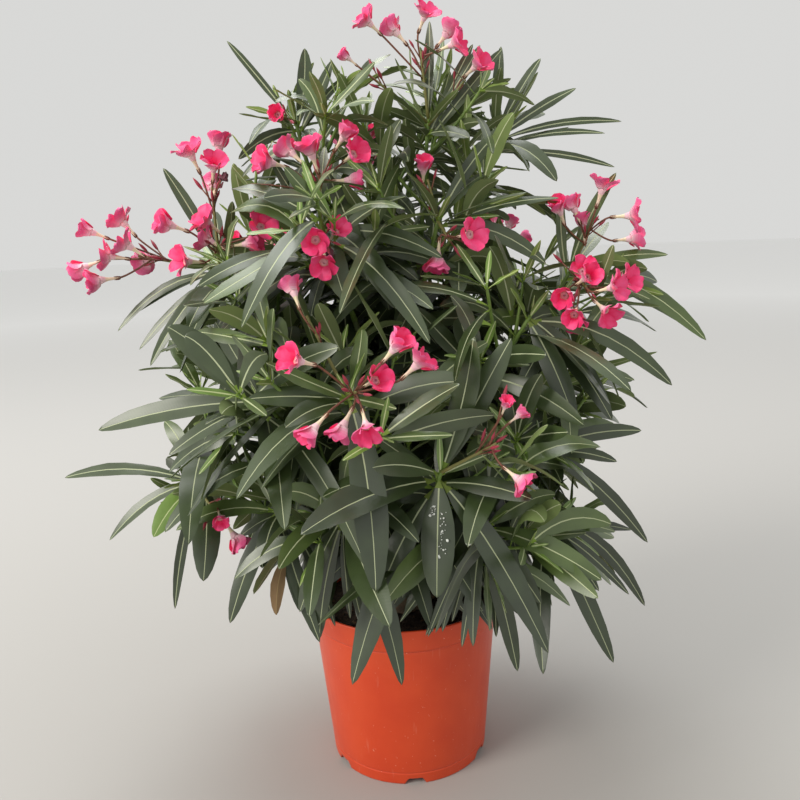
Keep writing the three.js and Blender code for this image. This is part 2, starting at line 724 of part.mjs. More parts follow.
for (const { mass, owner, leader, parts, shoots } of masses) {
  for (let i = 0; i < mass.shoots; i += 1) {
    const shoot = sideShoot(leader, owner, i, mass.shoots);
    const points = samplesAlong([0, 0.5, 1].map((share) => shootPoint(shoot, share)));
    if (isFree(owner, points.slice(1))) {
      parts.push(shootSolid(shoot, SHOOT));
      shoots.push(shoot);
      claim(owner, points);
    }
  }
}

function addLeaf(owner, parts, leaf) {
  parts.push(leaf.solid);
  claim(owner, leaf.points);
}

for (const { mass, owner, leader, parts } of masses) {
  (mass.tips ?? []).forEach((tip, i) => {
    const share = OUTLINE_LEAF.firstNode - (WHORL.stagger * i) / leader.length;
    const node = shootPoint(leader, share);
    const leaf = outlineLeaf(node, vector(tip));
    if (isFree(owner, leaf.points)) addLeaf(owner, parts, leaf);
  });
}

// One whorl: a leaf that isn't free is turned a little once each way, and then skipped
function growWhorl({ mass, owner, parts }, shoot, number, level) {
  for (let i = 0; i < WHORL.leaves; i += 1) {
    const drop = WHORL.topNode + level * WHORL.spacing + i * WHORL.stagger;
    const share = 1 - drop / shoot.length;
    const node = shootPoint(shoot, share);
    const axis = shootDirection(shoot, share);
    const flat = new THREE.Vector3().crossVectors(axis, UP).normalize();
    const phase = 360 * chance(owner, number, 5) + WHORL.turn * level + (360 * i) / WHORL.leaves;
    const leafSpread = (amount, kind) => spread(amount, owner, number, level, i + kind);
    const angle = WHORL.topAngle - WHORL.ageDrop * level + leafSpread(WHORL.angleSpread, 0);
    const age = level === 0 ? WHORL.youngLength : 1;
    const length = mass.leaf * age * (1 + leafSpread(WHORL.lengthSpread, 3));
    const droop = WHORL.droop + WHORL.ageDroop * level + leafSpread(WHORL.droopSpread, 6);
    [0, WHORL.retry, -WHORL.retry].some((turn) => {
      const radial = flat.clone().applyAxisAngle(axis, radians(phase + turn));
      const leaf = whorlLeaf(node, radial, axis, radians(angle), length, droop);
      const outside = leaf.points.some(leavesCrown) || leaf.outer.some((point) => nearOwn(owner, point));
      if (outside || !isFree(owner, leaf.points)) return false;
      addLeaf(owner, parts, leaf);
      return true;
    });
  }
}

for (let level = 0; level < WHORL.levels; level += 1) {
  for (const mass of masses) {
    mass.shoots.forEach((shoot, number) => {
      if (level < WHORL.levels - 1 || number === 0) growWhorl(mass, shoot, number, level);
    });
  }
}

// The scene graph
const plant = new THREE.Group();

function addPart(name, solid, colour, roughness) {
  const material = new THREE.MeshStandardMaterial({ color: colour, roughness, metalness: 0 });
  const mesh = new THREE.Mesh(toGeometry(solid), material);
  mesh.name = name;
  plant.add(mesh);
}

addPart("pot", potSolid(), COLOURS.terracotta, 0.45);
addPart("compost", compostSolid(), COLOURS.compost, 0.95);
addPart("stool", stoolSolid(), COLOURS.bark, 0.85);
for (const [name, limb] of Object.entries(limbs)) addPart(name, limb.solid, COLOURS.bark, 0.8);
for (const { name, owner, parts } of masses) {
  addPart(`foliage-${name}`, outerSkin(fuse(parts)), COLOURS.foliage[owner % COLOURS.foliage.length], 0.5);
}

export default plant;
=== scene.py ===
# %% [markdown]
# A potted oleander, dressed for the camera.
# The real plant is a bushy patio shrub about 0.9 m tall. Thin stems rise from a woody stool in a
# plastic nursery pot, and each carries long leathery leaves in whorls of three and heads of
# rose-red flowers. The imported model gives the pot, the stems and one coarse solid for each mass of
# foliage. This file keeps their places and grows the fine parts on them. A plant like this could
# be sculpted, or scattered from a few copied leaves. Here it is grown by rules, so that each leaf
# and flower is its own and one table of named places fits the plant to the photograph.

import bpy
import numpy as np
from mathutils import Matrix


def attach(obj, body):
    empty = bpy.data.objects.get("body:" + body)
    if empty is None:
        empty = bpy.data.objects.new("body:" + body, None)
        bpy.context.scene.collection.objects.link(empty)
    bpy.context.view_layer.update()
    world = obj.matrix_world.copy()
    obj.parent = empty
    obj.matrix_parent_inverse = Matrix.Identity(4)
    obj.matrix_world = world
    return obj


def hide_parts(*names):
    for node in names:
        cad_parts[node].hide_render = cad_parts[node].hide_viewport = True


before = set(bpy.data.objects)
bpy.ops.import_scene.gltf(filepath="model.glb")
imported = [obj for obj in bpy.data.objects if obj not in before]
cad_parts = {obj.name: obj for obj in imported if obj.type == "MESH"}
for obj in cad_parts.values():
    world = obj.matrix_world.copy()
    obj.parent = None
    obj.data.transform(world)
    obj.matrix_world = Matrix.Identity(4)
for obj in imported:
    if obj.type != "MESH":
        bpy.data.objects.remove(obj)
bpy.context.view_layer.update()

MM = 0.001
UP = np.array([0.0, 0.0, 1.0])


# %% [markdown]
# A leaf, a petal and a stem are all one idea: a closed ring of points carried along a line, its
# size and turn changing on the way. They could be built one by one with Blender's curve tools, but
# a plant has over a thousand leaves. Worked out as whole arrays they take a second together, so
# the helpers below take every leaf or every stem at once.

# %% Directions and chance
def unit(vectors):
    """Each vector divided by its own length."""
    return vectors / np.maximum(np.linalg.norm(vectors, axis=-1, keepdims=True), 1e-12)


def chance(*keys):
    """A repeatable number from 0 to 1 for whole-number keys: the fraction left by a very large sine.
    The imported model's foliage is grown by the same formula. The last key tells one use of chance
    from another, so that no two of them move together."""
    weights = (12.9898, 78.233, 37.719, 9.151, 51.37)
    total = sum((np.asarray(key, float) + 1) * weight for key, weight in zip(keys, weights))
    value = np.sin(total) * 43758.5453
    return value - np.floor(value)


def spread(amount, *keys):
    """A repeatable number from minus the amount to plus the amount."""
    return amount * (2 * chance(*keys) - 1)


def turned(vectors, axes, angles):
    """Vectors turned round unit axes: the part along the axis stays, the rest goes round by the
    cosine and sine of the angle."""
    angles = np.asarray(angles, float)[..., None]
    level = np.sum(vectors * axes, -1, keepdims=True) * axes
    return level + (vectors - level) * np.cos(angles) + np.cross(axes, vectors) * np.sin(angles)


print("five draws of chance:", np.round(chance(np.arange(5), 1), 3))


# %% Faces of swept bodies
def ring_faces(count, rows, ring):
    """Quads between neighbouring rings of `count` separate swept bodies, and one end face for each
    end. Corner k of ring r of body b is the point b * rows * ring + r * ring + k."""
    body = (np.arange(count) * rows * ring)[:, None, None]
    row = (np.arange(rows - 1) * ring)[:, None]
    corner = np.arange(ring)
    first = body + row + corner
    second = body + row + (corner + 1) % ring
    quads = np.stack([first, second, second + ring, first + ring], -1).reshape(-1, 4)
    start = body[:, 0, :] + np.arange(ring)[None, ::-1]
    end = body[:, 0, :] + (rows - 1) * ring + np.arange(ring)
    return quads, start, end


def body_volume(points):
    """About six times a swept body's volume, which is above 0 if its faces point outwards."""
    quads, _, _ = ring_faces(1, *points.shape[:2])
    cloud = points.reshape(-1, 3)
    centred = cloud - cloud.mean(0)
    a, b, c, d = (centred[quads[:, k]] for k in range(4))
    return float(np.sum(a * np.cross(b, c)) + np.sum(a * np.cross(c, d)))


print("quads round a tube of 3 rings with 8 sides:", len(ring_faces(1, 3, 8)[0]))


# %% The mesh maker
def make_piece(name, points, faces, materials, strips=None, uv=None, sharp=None):
    """A mesh object from points in metres and a list of face arrays, one array for each face size.
    strips gives each face's material number, uv one pair for each point, and sharp the points
    between which an edge stays sharp."""
    mesh = bpy.data.meshes.new(name)
    points = np.asarray(points, np.float32).reshape(-1, 3)
    corners = np.concatenate([face.ravel() for face in faces]).astype(np.int32)
    sizes = np.concatenate([np.full(len(face), face.shape[1]) for face in faces])
    starts = np.concatenate([[0], np.cumsum(sizes)[:-1]]).astype(np.int32)
    mesh.vertices.add(len(points))
    mesh.vertices.foreach_set("co", points.ravel())
    mesh.loops.add(len(corners))
    mesh.loops.foreach_set("vertex_index", corners)
    mesh.polygons.add(len(sizes))
    mesh.polygons.foreach_set("loop_start", starts)
    mesh.polygons.foreach_set("use_smooth", np.ones(len(sizes), bool))
    if strips is not None:
        mesh.polygons.foreach_set("material_index", np.asarray(strips, np.int32))
    if uv is not None:
        layer = mesh.uv_layers.new(name="leaf_mm")
        layer.data.foreach_set("uv", np.asarray(uv, np.float32).reshape(-1, 2)[corners].ravel())
    mesh.update(calc_edges=True)
    if sharp is not None:
        ends = np.zeros(2 * len(mesh.edges), np.int32)
        mesh.edges.foreach_get("vertices", ends)
        layer = mesh.attributes.new("sharp_edge", "BOOLEAN", "EDGE")
        layer.data.foreach_set("value", sharp[ends.reshape(-1, 2)].all(1))
    for material in materials:
        mesh.materials.append(material)
    piece = bpy.data.objects.new(name, mesh)
    bpy.context.scene.collection.objects.link(piece)
    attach(piece, "root")
    print(name, "-", len(points), "points,", int(np.sum(sizes - 2)), "triangles")
    return piece


def swept_piece(name, points, materials, strips=None, uv=None, sharp=None, blade=False):
    """Closed bodies as one piece, from points in mm for each body, row and corner of its ring. The
    second half of a blade's ring runs back under the first, so its quads start one corner later.
    Both sides of a thin blade then bend along the same diagonals and never cross."""
    quads, start, end = ring_faces(*points.shape[:3])
    if blade:
        ring = points.shape[2]
        under = np.arange(len(quads)) % ring >= ring // 2
        quads = np.where(under[:, None], np.roll(quads, -1, axis=1), quads)
    print(name, "faces point out:", body_volume(points[0]) > 0)
    return make_piece(name, points * MM, [quads, start, end], materials, strips, uv, sharp)


# %% [markdown]
# The picture was taken from about a metre away and from a little above the middle of the plant,
# with the camera tipped down and turned slightly. Its lens is a wide one. The camera could be
# moved by hand until the picture fits. These numbers were worked out instead, from the pot, whose
# top and bottom rims show as two ovals, because every place in the plant's table depends on them.

# %% The camera
EYE = (0.005, -0.950, 0.647)  # metres from the middle of the pot's underside
EYE_MM = np.array(EYE) / MM
SENSOR_MM = 36
PITCH_DOWN = np.radians(11.61)
ROLL = np.radians(2.36)
FOCAL_SHARE = 802 / 800  # focal length over the picture's width


def placed(right, top, back, place):
    """The matrix that turns an object to three square directions and moves it to its place."""
    turn = np.eye(4)
    turn[:3, :] = np.stack([right, top, back, place], 1)
    return Matrix(turn.tolist())


def add_camera():
    """A camera looking along +Y, tipped down by the pitch, then rolled about its own line of sight."""
    data = bpy.data.cameras.new("photo_camera")
    data.sensor_width = SENSOR_MM
    data.lens = SENSOR_MM * FOCAL_SHARE
    data.clip_start = 0.05
    data.clip_end = 200
    camera = bpy.data.objects.new("photo_camera", data)
    back = np.array([0, -np.cos(PITCH_DOWN), np.sin(PITCH_DOWN)])
    level_up = np.array([0, np.sin(PITCH_DOWN), np.cos(PITCH_DOWN)])
    level_right = np.array([1.0, 0, 0])
    right = np.cos(ROLL) * level_right - np.sin(ROLL) * level_up
    top = np.sin(ROLL) * level_right + np.cos(ROLL) * level_up
    camera.matrix_world = placed(right, top, back, EYE)
    bpy.context.scene.collection.objects.link(camera)
    bpy.context.scene.camera = camera
    print("camera lens:", round(data.lens, 2), "mm")


add_camera()

# %% [markdown]
# Colours in a paint chart or a photograph are sRGB, but the renderer mixes light in linear values,
# so one function turns a hex colour into them. A material is a small graph of nodes. It could be
# drawn by hand in the shader editor, but written out it gives the same result each time. One
# function adds a node, sets it and links it, and every material below is written with it.

# %% Colours and nodes
def linear(hex_colour):
    """sRGB to linear light: low values divided by 12.92, the others raised to the power 2.4."""
    channels = np.array([int(hex_colour[i : i + 2], 16) for i in (1, 3, 5)]) / 255
    light = np.where(channels <= 0.04045, channels / 12.92, ((channels + 0.055) / 1.055) ** 2.4)
    return (*light, 1.0)


def add_node(material, kind, links=None, values=None, **settings):
    """One node: `settings` are its own properties, `values` set sockets, `links` join sockets."""
    node = material.node_tree.nodes.new(kind)
    for key, value in settings.items():
        setattr(node, key, value)
    for key, value in (values or {}).items():
        node.inputs[key].default_value = value
    for key, source in (links or {}).items():
        material.node_tree.links.new(source, node.inputs[key])
    return node


def new_material(name, colour, roughness, **sockets):
    """A material and its surface shader, with the values that are the same all over it."""
    material = bpy.data.materials.new(name)
    material.use_nodes = True
    surface = material.node_tree.nodes["Principled BSDF"]
    surface.inputs["Base Color"].default_value = linear(colour)
    surface.inputs["Roughness"].default_value = roughness
    for key, value in sockets.items():
        surface.inputs[key.replace("_", " ")].default_value = value
    return material, surface


def link(material, output, target):
    """Joins one node's output to another's input."""
    material.node_tree.links.new(output, target)


print("mid grey in linear light:", np.round(linear("#808080"), 3))


# %% Patches and relief
def object_place(material):
    """A socket that tells where a point lies on the plant, in metres."""
    return add_node(material, "ShaderNodeTexCoord").outputs["Object"]


def maths(material, operation, links, values=None):
    """One step of arithmetic."""
    return add_node(material, "ShaderNodeMath", links, values, operation=operation).outputs[0]


def noise(material, place, size_mm, detail):
    """A noise with patches of about a size, read at the place that a socket gives."""
    return add_node(material, "ShaderNodeTexNoise", {"Vector": place},
                    {"Scale": 1 / (size_mm * MM), "Detail": detail}).outputs["Fac"]


def remap(material, value, **ends):
    """A value mapped from one range to another."""
    ends = {key.replace("_", " "): end for key, end in ends.items()}
    return add_node(material, "ShaderNodeMapRange", {"Value": value}, ends).outputs["Result"]


def mottle(material, first, second, patch_mm, low=0.35, high=0.65, detail=3):
    """Two colours mixed in soft patches of about patch_mm, and the share of the second."""
    place = object_place(material)
    share = remap(material, noise(material, place, patch_mm, detail), From_Min=low, From_Max=high)
    mix = add_node(material, "ShaderNodeMix", {0: share},
                   {6: linear(first), 7: linear(second)}, data_type="RGBA")
    return mix.outputs[2], share


def add_relief(material, surface, height, depth_mm):
    """Relief of a real depth from a height between 0 and 1."""
    relief = add_node(material, "ShaderNodeBump", {"Height": height},
                      {"Strength": 1.0, "Distance": depth_mm * MM})
    link(material, relief.outputs["Normal"], surface.inputs["Normal"])


# %% [markdown]
# An oleander leaf is leathery. Its face has a thin waxy skin that gives a soft bluish sheen, a pale
# midrib, and fine side veins that run out to the edge almost square to it. Old leaves are a dark
# grey-green and new ones a lively yellow-green. One material could take its green from a random
# number for each leaf. Each tone is a plain colour of its own instead, dealt out by shoot, because
# that is how the plant shows its age. The veins follow the leaf, so they are drawn on the leaf's
# own map, which is laid out in millimetres.

# %% Leaf materials
LEAF_PATCH_MM = 30
VEIN_PITCH_MM = 3.2  # real ones are about 1 mm apart, and are drawn coarser so that they show
VEIN_DEPTH_MM = 0.01
VEIN_SLANT = 0.45
GRAIN_MM = 2.5  # the matt underside's grain, also drawn coarser
GRAIN_DEPTH_MM = 0.04


def leaf_face(name, colour, light, roughness):
    """A leaf's upper face: patches of two greens, slanting veins as relief, a thin waxy coat."""
    material, surface = new_material(name, colour, roughness, Coat_Weight=0.8, Coat_Roughness=0.4)
    tone, _ = mottle(material, colour, light, LEAF_PATCH_MM)
    link(material, tone, surface.inputs["Base Color"])
    place = add_node(material, "ShaderNodeUVMap", uv_map="leaf_mm")
    parts = add_node(material, "ShaderNodeSeparateXYZ", {0: place.outputs["UV"]})
    side = maths(material, "ABSOLUTE", {0: parts.outputs["Y"]})
    slant = maths(material, "MULTIPLY_ADD", {0: side, 2: parts.outputs["X"]}, {1: -VEIN_SLANT})
    wave = maths(material, "MULTIPLY", {0: slant}, {1: 2 * np.pi / VEIN_PITCH_MM})
    add_relief(material, surface, maths(material, "SINE", {0: wave}), VEIN_DEPTH_MM)
    return material


def leaf_plain(name, colour, roughness):
    """An underside or a midrib: one matt colour with fine grain as relief, and hardly any shine."""
    material, surface = new_material(name, colour, roughness, Specular_IOR_Level=0.2)
    grain = noise(material, object_place(material), GRAIN_MM, 2)
    add_relief(material, surface, grain, GRAIN_DEPTH_MM)
    return material


LEAF_TONES = {  # tone: face, face's second green, midrib, underside, leaf stalk
    "old": ("#28351a", "#334123", "#b0b894", "#606c47", "#6d7d3a"),
    "grown": ("#344320", "#3f4f2a", "#bac29e", "#6c7a4f", "#7b9440"),
    "young": ("#475a27", "#546830", "#c2caa0", "#798a54", "#86a342"),
    "fresh": ("#62802c", "#729238", "#c6d09a", "#869b54", "#93b045"),
}
DRY_TONE = ("#6b4d33", "#7d6040", "#a38a62", "#8b7152", "#6b5136")


def leaf_materials(tone, colours):
    """A leaf's four skins: its face, its midrib, its underside and its stalk."""
    face, light, midrib, under, stalk = colours
    return [
        leaf_face(f"leathery leaf face, {tone}", face, light, 0.36),
        leaf_plain(f"leaf midrib, {tone}", midrib, 0.5),
        leaf_plain(f"leaf underside, {tone}", under, 0.65),
        leaf_plain(f"leaf stalk, {tone}", stalk, 0.5),
    ]


print("leaf tones:", list(LEAF_TONES))

# %% [markdown]
# Each mass of foliage is a leafy leader with side shoots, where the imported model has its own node
# of the same name. The table repeats the model's named values in millimetres: the leader's tip,
# its lean from upright, its leafy length, the leaf length and the stem that its bough forks from.
# The tips are ends of single long leaves that stand out in the photograph, and the flower heads
# are given by where each flower is. Every leaf could be listed like that, but a reader couldn't
# check so long a list. So the finer shoots and all the other leaves follow from the rule.

# %% The plant's table
STEMS = {  # the way round the stool, in degrees, and the mass that the stem carries
    "stem-crown": (62, "crown-top"),
    "stem-top-left": (165, "crown-left"),
    "stem-top-right": (10, "crown-right"),
    "stem-left": (217, "left-upper"),
    "stem-right": (-42, "right-upper"),
    "stem-front": (-93, "front-middle"),
    "stem-back": (114, "back-high"),
}


def mass(hub, lean, leader, leaf, shoots, bough=None, tips=(), heads=(), grown=0):
    """A row of the table: the leader's tip, lean and length, the leaf length, the number of side
    shoots, the stem and share of it where the bough forks, the known leaf tips, the flower heads,
    each with its depth and its flowers' x and z, and the number of flowers on a hidden head."""
    return dict(hub=np.array(hub, float), lean=lean, leader=leader, leaf=leaf, shoots=shoots,
                bough=bough, tips=tips, heads=heads, grown=grown)


MASSES = {
    "crown-top": mass(
        [50, 0, 775], 6, 125, 125, 3,
        tips=[(55, 5, 878, 12), (110, 0, 850, 12), (0, -45, 800), (15, 0, 840), (90, -60, 745, 20),
              (35, -80, 755, 20), (102, 0, 851, 11), (136, 10, 847, 14), (41, -20, 859, 12)],
        heads=[(-10, [(-15, 875), (15, 870), (50, 880), (75, 865), (82, 848)]),
               (-15, [(-38, 838, 0.7)]), (-15, [(105, 825)])]),
    "crown-left": mass(
        [-100, 0, 778], 14, 120, 115, 3,
        tips=[(-170, 0, 865, 9), (-85, 5, 855, 17), (-160, -40, 735, 14), (-55, 0, 840, 13),
              (-40, 10, 825, 9)],
        heads=[(-60, [(-110, 775, 0.8)])]),
    "crown-right": mass(
        [135, 50, 765], 22, 130, 130, 4,
        tips=[(140, 50, 858, 13), (188, 60, 845, 14), (230, 60, 810, 13), (285, 60, 770, 9),
              (195, 0, 700, 24), (185, 60, 830), (260, 40, 755, 8), (220, 50, 765),
              (272, 40, 716, 9)]),
    "upper-left": mass(
        [-72, -80, 662], 24, 110, 135, 3, ("stem-top-left", 0.55),
        tips=[(5, -150, 575, 25), (-45, -150, 585, 28), (55, -105, 622, 20), (-125, -90, 675, 16)],
        heads=[(-95, [(-120, 725), (-100, 738), (-75, 735), (-40, 752), (-30, 730), (-35, 705)]),
               (-130, [(-72, 645), (-52, 655), (-65, 622)])]),
    "left-upper": mass(
        [-188, -55, 625], 36, 140, 125, 3,
        tips=[(-240, -50, 728, 14), (-290, -50, 572, 9), (-262, -95, 520, 14), (-305, -60, 555, 11),
              (-280, -70, 535, 12), (-210, -120, 550, 17)],
        heads=[(-60, [(-205, 742), (-178, 752), (-180, 728), (-188, 708)]),
               (-100, [(-225, 668), (-192, 670), (-212, 630), (-145, 645), (-128, 662), (-192, 651)]),
               (-60, [(-320, 665), (-292, 675), (-282, 650), (-342, 625), (-318, 612), (-270, 630),
                      (-303, 638)])]),
    "centre": mass(
        [55, -62, 665], 22, 110, 140, 3, ("stem-crown", 0.62),
        tips=[(135, -45, 762, 16), (145, -95, 685), (170, -65, 610, 19), (190, -40, 680, 12)],
        heads=[(-60, [(40, 717)]), (-105, [(85, 645), (50, 618)])]),
    "right-upper": mass(
        [215, 0, 605], 34, 140, 140, 3,
        tips=[(325, 0, 612, 14), (358, -40, 515, 22), (255, -30, 705, 14), (200, 0, 685, 12),
              (350, -10, 525, 8), (290, -50, 565, 11)],
        heads=[(-20, [(190, 670), (212, 672), (240, 692), (225, 652), (275, 658), (282, 632)]),
               (-90, [(182, 577), (200, 548), (228, 558), (208, 602), (249, 592)]),
               (-118, [(186, 559), (207, 597), (229, 587)])]),
    "right-middle": mass(
        [150, -92, 560], 36, 125, 145, 3, ("stem-right", 0.5),
        tips=[(235, -100, 440, 25), (185, -145, 450, 25), (310, -70, 470, 22), (230, -110, 460)]),
    "right-side": mass(
        [212, 25, 470], 52, 125, 145, 3, ("stem-top-right", 0.22), tips=[(318, 40, 420)]),
    "right-low": mass(
        [178, -75, 318], 66, 110, 150, 3, ("stem-right", 0.1),
        tips=[(285, -70, 205, 17), (235, -120, 162, 22), (146, -170, 181, 24), (265, -80, 305, 14),
              (260, -90, 230, 12), (215, -130, 255, 15)]),
    "right-front": mass(
        [158, -122, 420], 48, 115, 150, 3, ("stem-right", 0.27),
        tips=[(258, -130, 435, 17), (277, -100, 297, 19), (230, -140, 405, 15), (165, -170, 395, 18)]),
    "left-middle": mass(
        [-145, -120, 485], 46, 120, 150, 3, ("stem-left", 0.35),
        tips=[(-320, -110, 455, 26, 1), (-210, -140, 545, 18), (-120, -172, 400, 27), (-255, -100, 485),
              (-190, -170, 470)]),
    "left-side": mass(
        [-205, 30, 490], 50, 125, 145, 3, ("stem-top-left", 0.3), tips=[(-310, 10, 500)]),
    "left-low": mass(
        [-235, -78, 385], 64, 125, 140, 3, ("stem-left", 0.16),
        tips=[(-380, -70, 392, 17, 1), (-330, -90, 322, 16, 1), (-258, -110, 245, 12),
              (-270, -120, 335, 25, -1), (-215, -140, 290, 31)],
        heads=[(-130, [(-190, 360, 0.7), (-180, 327)])]),
    "front-middle": mass(
        [-45, -195, 500], 40, 120, 145, 3,
        tips=[(-25, -250, 320, 34), (-140, -200, 500, 22), (0, -230, 545), (-100, -240, 480, 24)],
        heads=[(-250, [(-85, 545), (-15, 520), (5, 555), (25, 535), (-75, 480), (-50, 475),
                       (-25, 480)]),
               (-150, [(-95, 600)])]),
    "front-low": mass(
        [42, -200, 420], 46, 115, 165, 2, ("stem-front", 0.3),
        tips=[(75, -215, 552, 28), (112, -200, 548, 25), (33, -222, 299, 35), (142, -222, 235, 30),
              (-90, -262, 385, 36), (-25, -230, 470), (125, -235, 400, 22), (-55, -215, 205, 33)],
        heads=[(-225, [(101, 493, 0.6), (118, 477, 0.6), (114, 419, 0.9)])]),
    "front-left-low": mass(
        [-62, -168, 368], 50, 100, 155, 2, ("stem-front", 0.2),
        tips=[(-5, -205, 196, 24), (-110, -165, 262), (-92, -160, 227, 16), (-59, -140, 240, 10),
              (-44, -150, 233, 11), (-18, -160, 232, 11)]),
    "front-right-low": mass(
        [92, -150, 345], 52, 100, 150, 2, ("stem-front", 0.12),
        tips=[(59, -180, 222, 11), (145, -165, 260, 20), (70, -190, 228, 17), (22, -160, 226, 10),
              (101, -130, 205, 12), (123, -140, 168, 20), (24, -170, 230, 11), (40, -160, 230, 12),
              (52, -140, 231, 10), (-5, -140, 233, 10)]),
    "left-bottom": mass(
        [-138, -118, 360], 56, 110, 145, 3, ("stem-left", 0.08),
        tips=[(-188, -150, 245, 22), (-90, -172, 230, 17), (-145, -170, 315, 22),
              (-110, -160, 260, 18), (-76, -140, 231, 12)]),
    "back-high": mass([-25, 95, 700], 22, 125, 140, 4, grown=4),
    "back-left": mass([-140, 100, 585], 36, 125, 145, 3, ("stem-top-left", 0.45), grown=5),
    "back-right": mass([120, 135, 590], 36, 125, 145, 3, ("stem-top-right", 0.42), grown=4),
    "back-middle": mass([-15, 165, 520], 44, 120, 150, 4, ("stem-back", 0.42), grown=3),
    "back-left-low": mass(
        [-155, 115, 380], 56, 120, 150, 3, ("stem-top-left", 0.1),
        tips=[(-245, 190, 265), (-150, 215, 240)]),
    "back-right-low": mass(
        [165, 110, 385], 56, 120, 150, 3, ("stem-top-right", 0.08),
        tips=[(262, 180, 270), (165, 215, 240)]),
    "back-low": mass(
        [5, 185, 365], 54, 115, 155, 3, ("stem-back", 0.12),
        tips=[(-40, 245, 210), (60, 245, 225)]),
}
print("masses of foliage:", len(MASSES))

# %% [markdown]
# A stem bends from the way it leaves the stool to the way its leafy end leans, and keeps a steady
# taper. It could be drawn as a chain of straight lengths, but a Bezier curve gives that bend from
# its two ends alone. A leader is the stem's last leafy length. It rises a little as it goes out.

# %% Leaders
LEADER_RISE = 0.06


def leader_of(spec):
    """The leader's foot, direction, length and rise, worked back from its tip by its lean."""
    lean = np.radians(spec["lean"])
    outward = unit(spec["hub"] * [1, 1, 0])
    direction = outward * np.sin(lean) + UP * np.cos(lean)
    foot = spec["hub"] - direction * spec["leader"] - UP * LEADER_RISE * spec["leader"]
    return dict(foot=foot, direction=direction, length=spec["leader"], rise=LEADER_RISE)


def column(value):
    """Numbers as a last column of their own, so that they multiply directions or points."""
    return np.asarray(value, float)[..., None]


def shoot_point(shoot, share):
    """Out along the direction by the share of the length, and up by the rise times its square."""
    along, rise, share = column(shoot["length"]), column(shoot["rise"]), column(share)
    return shoot["foot"] + shoot["direction"] * along * share + UP * rise * along * share**2


def shoot_direction(shoot, share):
    """The slope of the same line."""
    return unit(shoot["direction"] + UP * 2 * column(shoot["rise"]) * column(share))


LEADERS = {name: leader_of(spec) for name, spec in MASSES.items()}
print("leaders:", len(LEADERS))

# %% Stems and boughs
COMPOST_TOP = 192
STOOL_HEIGHT = 42
STEM_RING = 19  # mm from the middle of the stool to each stem's foot
STEM_SINK = 12  # mm from the top of the stool down to it
STEM_SPLAY = 0.35
CLEARANCE = 0.3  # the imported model's gap between a limb and its leader
LIMB_PULL = 0.38  # how strongly a limb keeps to its first and last directions
LIMB_STEPS = 200


def bezier(corners, share):
    """A cubic Bezier curve: its four corners weighted by the terms of (1 - t + t) cubed."""
    t = column(share)
    a, b, c, d = corners
    return a * (1 - t) ** 3 + b * 3 * t * (1 - t) ** 2 + c * 3 * t**2 * (1 - t) + d * t**3


def even_line(corners, count):
    """Points at equal steps of length along the curve."""
    fine = bezier(corners, np.linspace(0, 1, LIMB_STEPS + 1))
    length = np.concatenate([[0], np.cumsum(np.linalg.norm(np.diff(fine, axis=0), axis=1))])
    wanted = np.linspace(0, length[-1], count)
    return np.stack([np.interp(wanted, length, fine[:, k]) for k in range(3)], 1)


def limb_corners(start, start_direction, leader):
    """The four corners of a limb that ends just under its leader's foot, along the leader."""
    end = leader["foot"] - leader["direction"] * CLEARANCE
    pull = LIMB_PULL * np.linalg.norm(end - start)
    return [start, start + start_direction * pull, end - leader["direction"] * pull, end]


def stem_corners(foot_angle, leader):
    """A stem rises from a ring round the stool's top, splayed outwards."""
    angle = np.radians(foot_angle)
    around = np.array([np.cos(angle), np.sin(angle), 0])
    foot = around * STEM_RING + UP * (COMPOST_TOP + STOOL_HEIGHT - STEM_SINK)
    return limb_corners(foot, unit(UP + around * STEM_SPLAY), leader)


def bough_corners(stem, share, leader):
    """A bough leaves its stem half way between the stem's direction and the way to its leader."""
    line = even_line(LIMBS[stem], LIMB_STEPS + 1)
    place = round(share * LIMB_STEPS)
    tangent = unit(line[place + 1] - line[place - 1])
    away = unit(leader["foot"] - line[place])
    return limb_corners(line[place], unit(tangent + away), leader)


LIMBS = {name: stem_corners(angle, LEADERS[carried]) for name, (angle, carried) in STEMS.items()}
for name, spec in MASSES.items():
    if spec["bough"]:
        LIMBS[f"bough-{name}"] = bough_corners(*spec["bough"], LEADERS[name])
print("stems and boughs:", len(LIMBS))

# %% [markdown]
# Wood first. A tube could be a Blender curve with a bevel, but a curve's tube has the same smooth skin
# all along. As a grid of points the tube can carry relief: low rings where old leaves stood and a few
# long furrows.

# %% Tubes with relief
def frames_along(lines):
    """Tangent and two cross directions for each point of many lines. The first cross direction is
    a fixed slanting vector with its part along the tangent taken off."""
    tangent = unit(np.gradient(lines, axis=1))
    slant = np.array([0.31, 0.83, 0.46])
    first = unit(slant - np.sum(tangent * slant, -1, keepdims=True) * tangent)
    return tangent, first, np.cross(tangent, first)


def ring_angles(sides):
    """Even steps all the way round, in radians."""
    return np.linspace(0, 2 * np.pi, sides, endpoint=False)


def swept_tubes(lines, radii, sides, relief=None):
    """Rings round many lines: centre + radius * (cosine * first + sine * second), with the radius
    multiplied by 1 + relief, which is given for each line, row and side."""
    tangent, first, second = frames_along(lines)
    angle = ring_angles(sides)
    round_way = (first[:, :, None, :] * np.cos(angle)[:, None]
                 + second[:, :, None, :] * np.sin(angle)[:, None])
    scale = radii[:, :, None] * (1 + (relief if relief is not None else 0))
    return lines[:, :, None, :] + round_way * scale[..., None]


def tube_piece(name, lines, radii, sides, materials, relief=None):
    """Many tubes as one piece, closed at both ends."""
    return swept_piece(name, swept_tubes(lines, radii, sides, relief), materials)


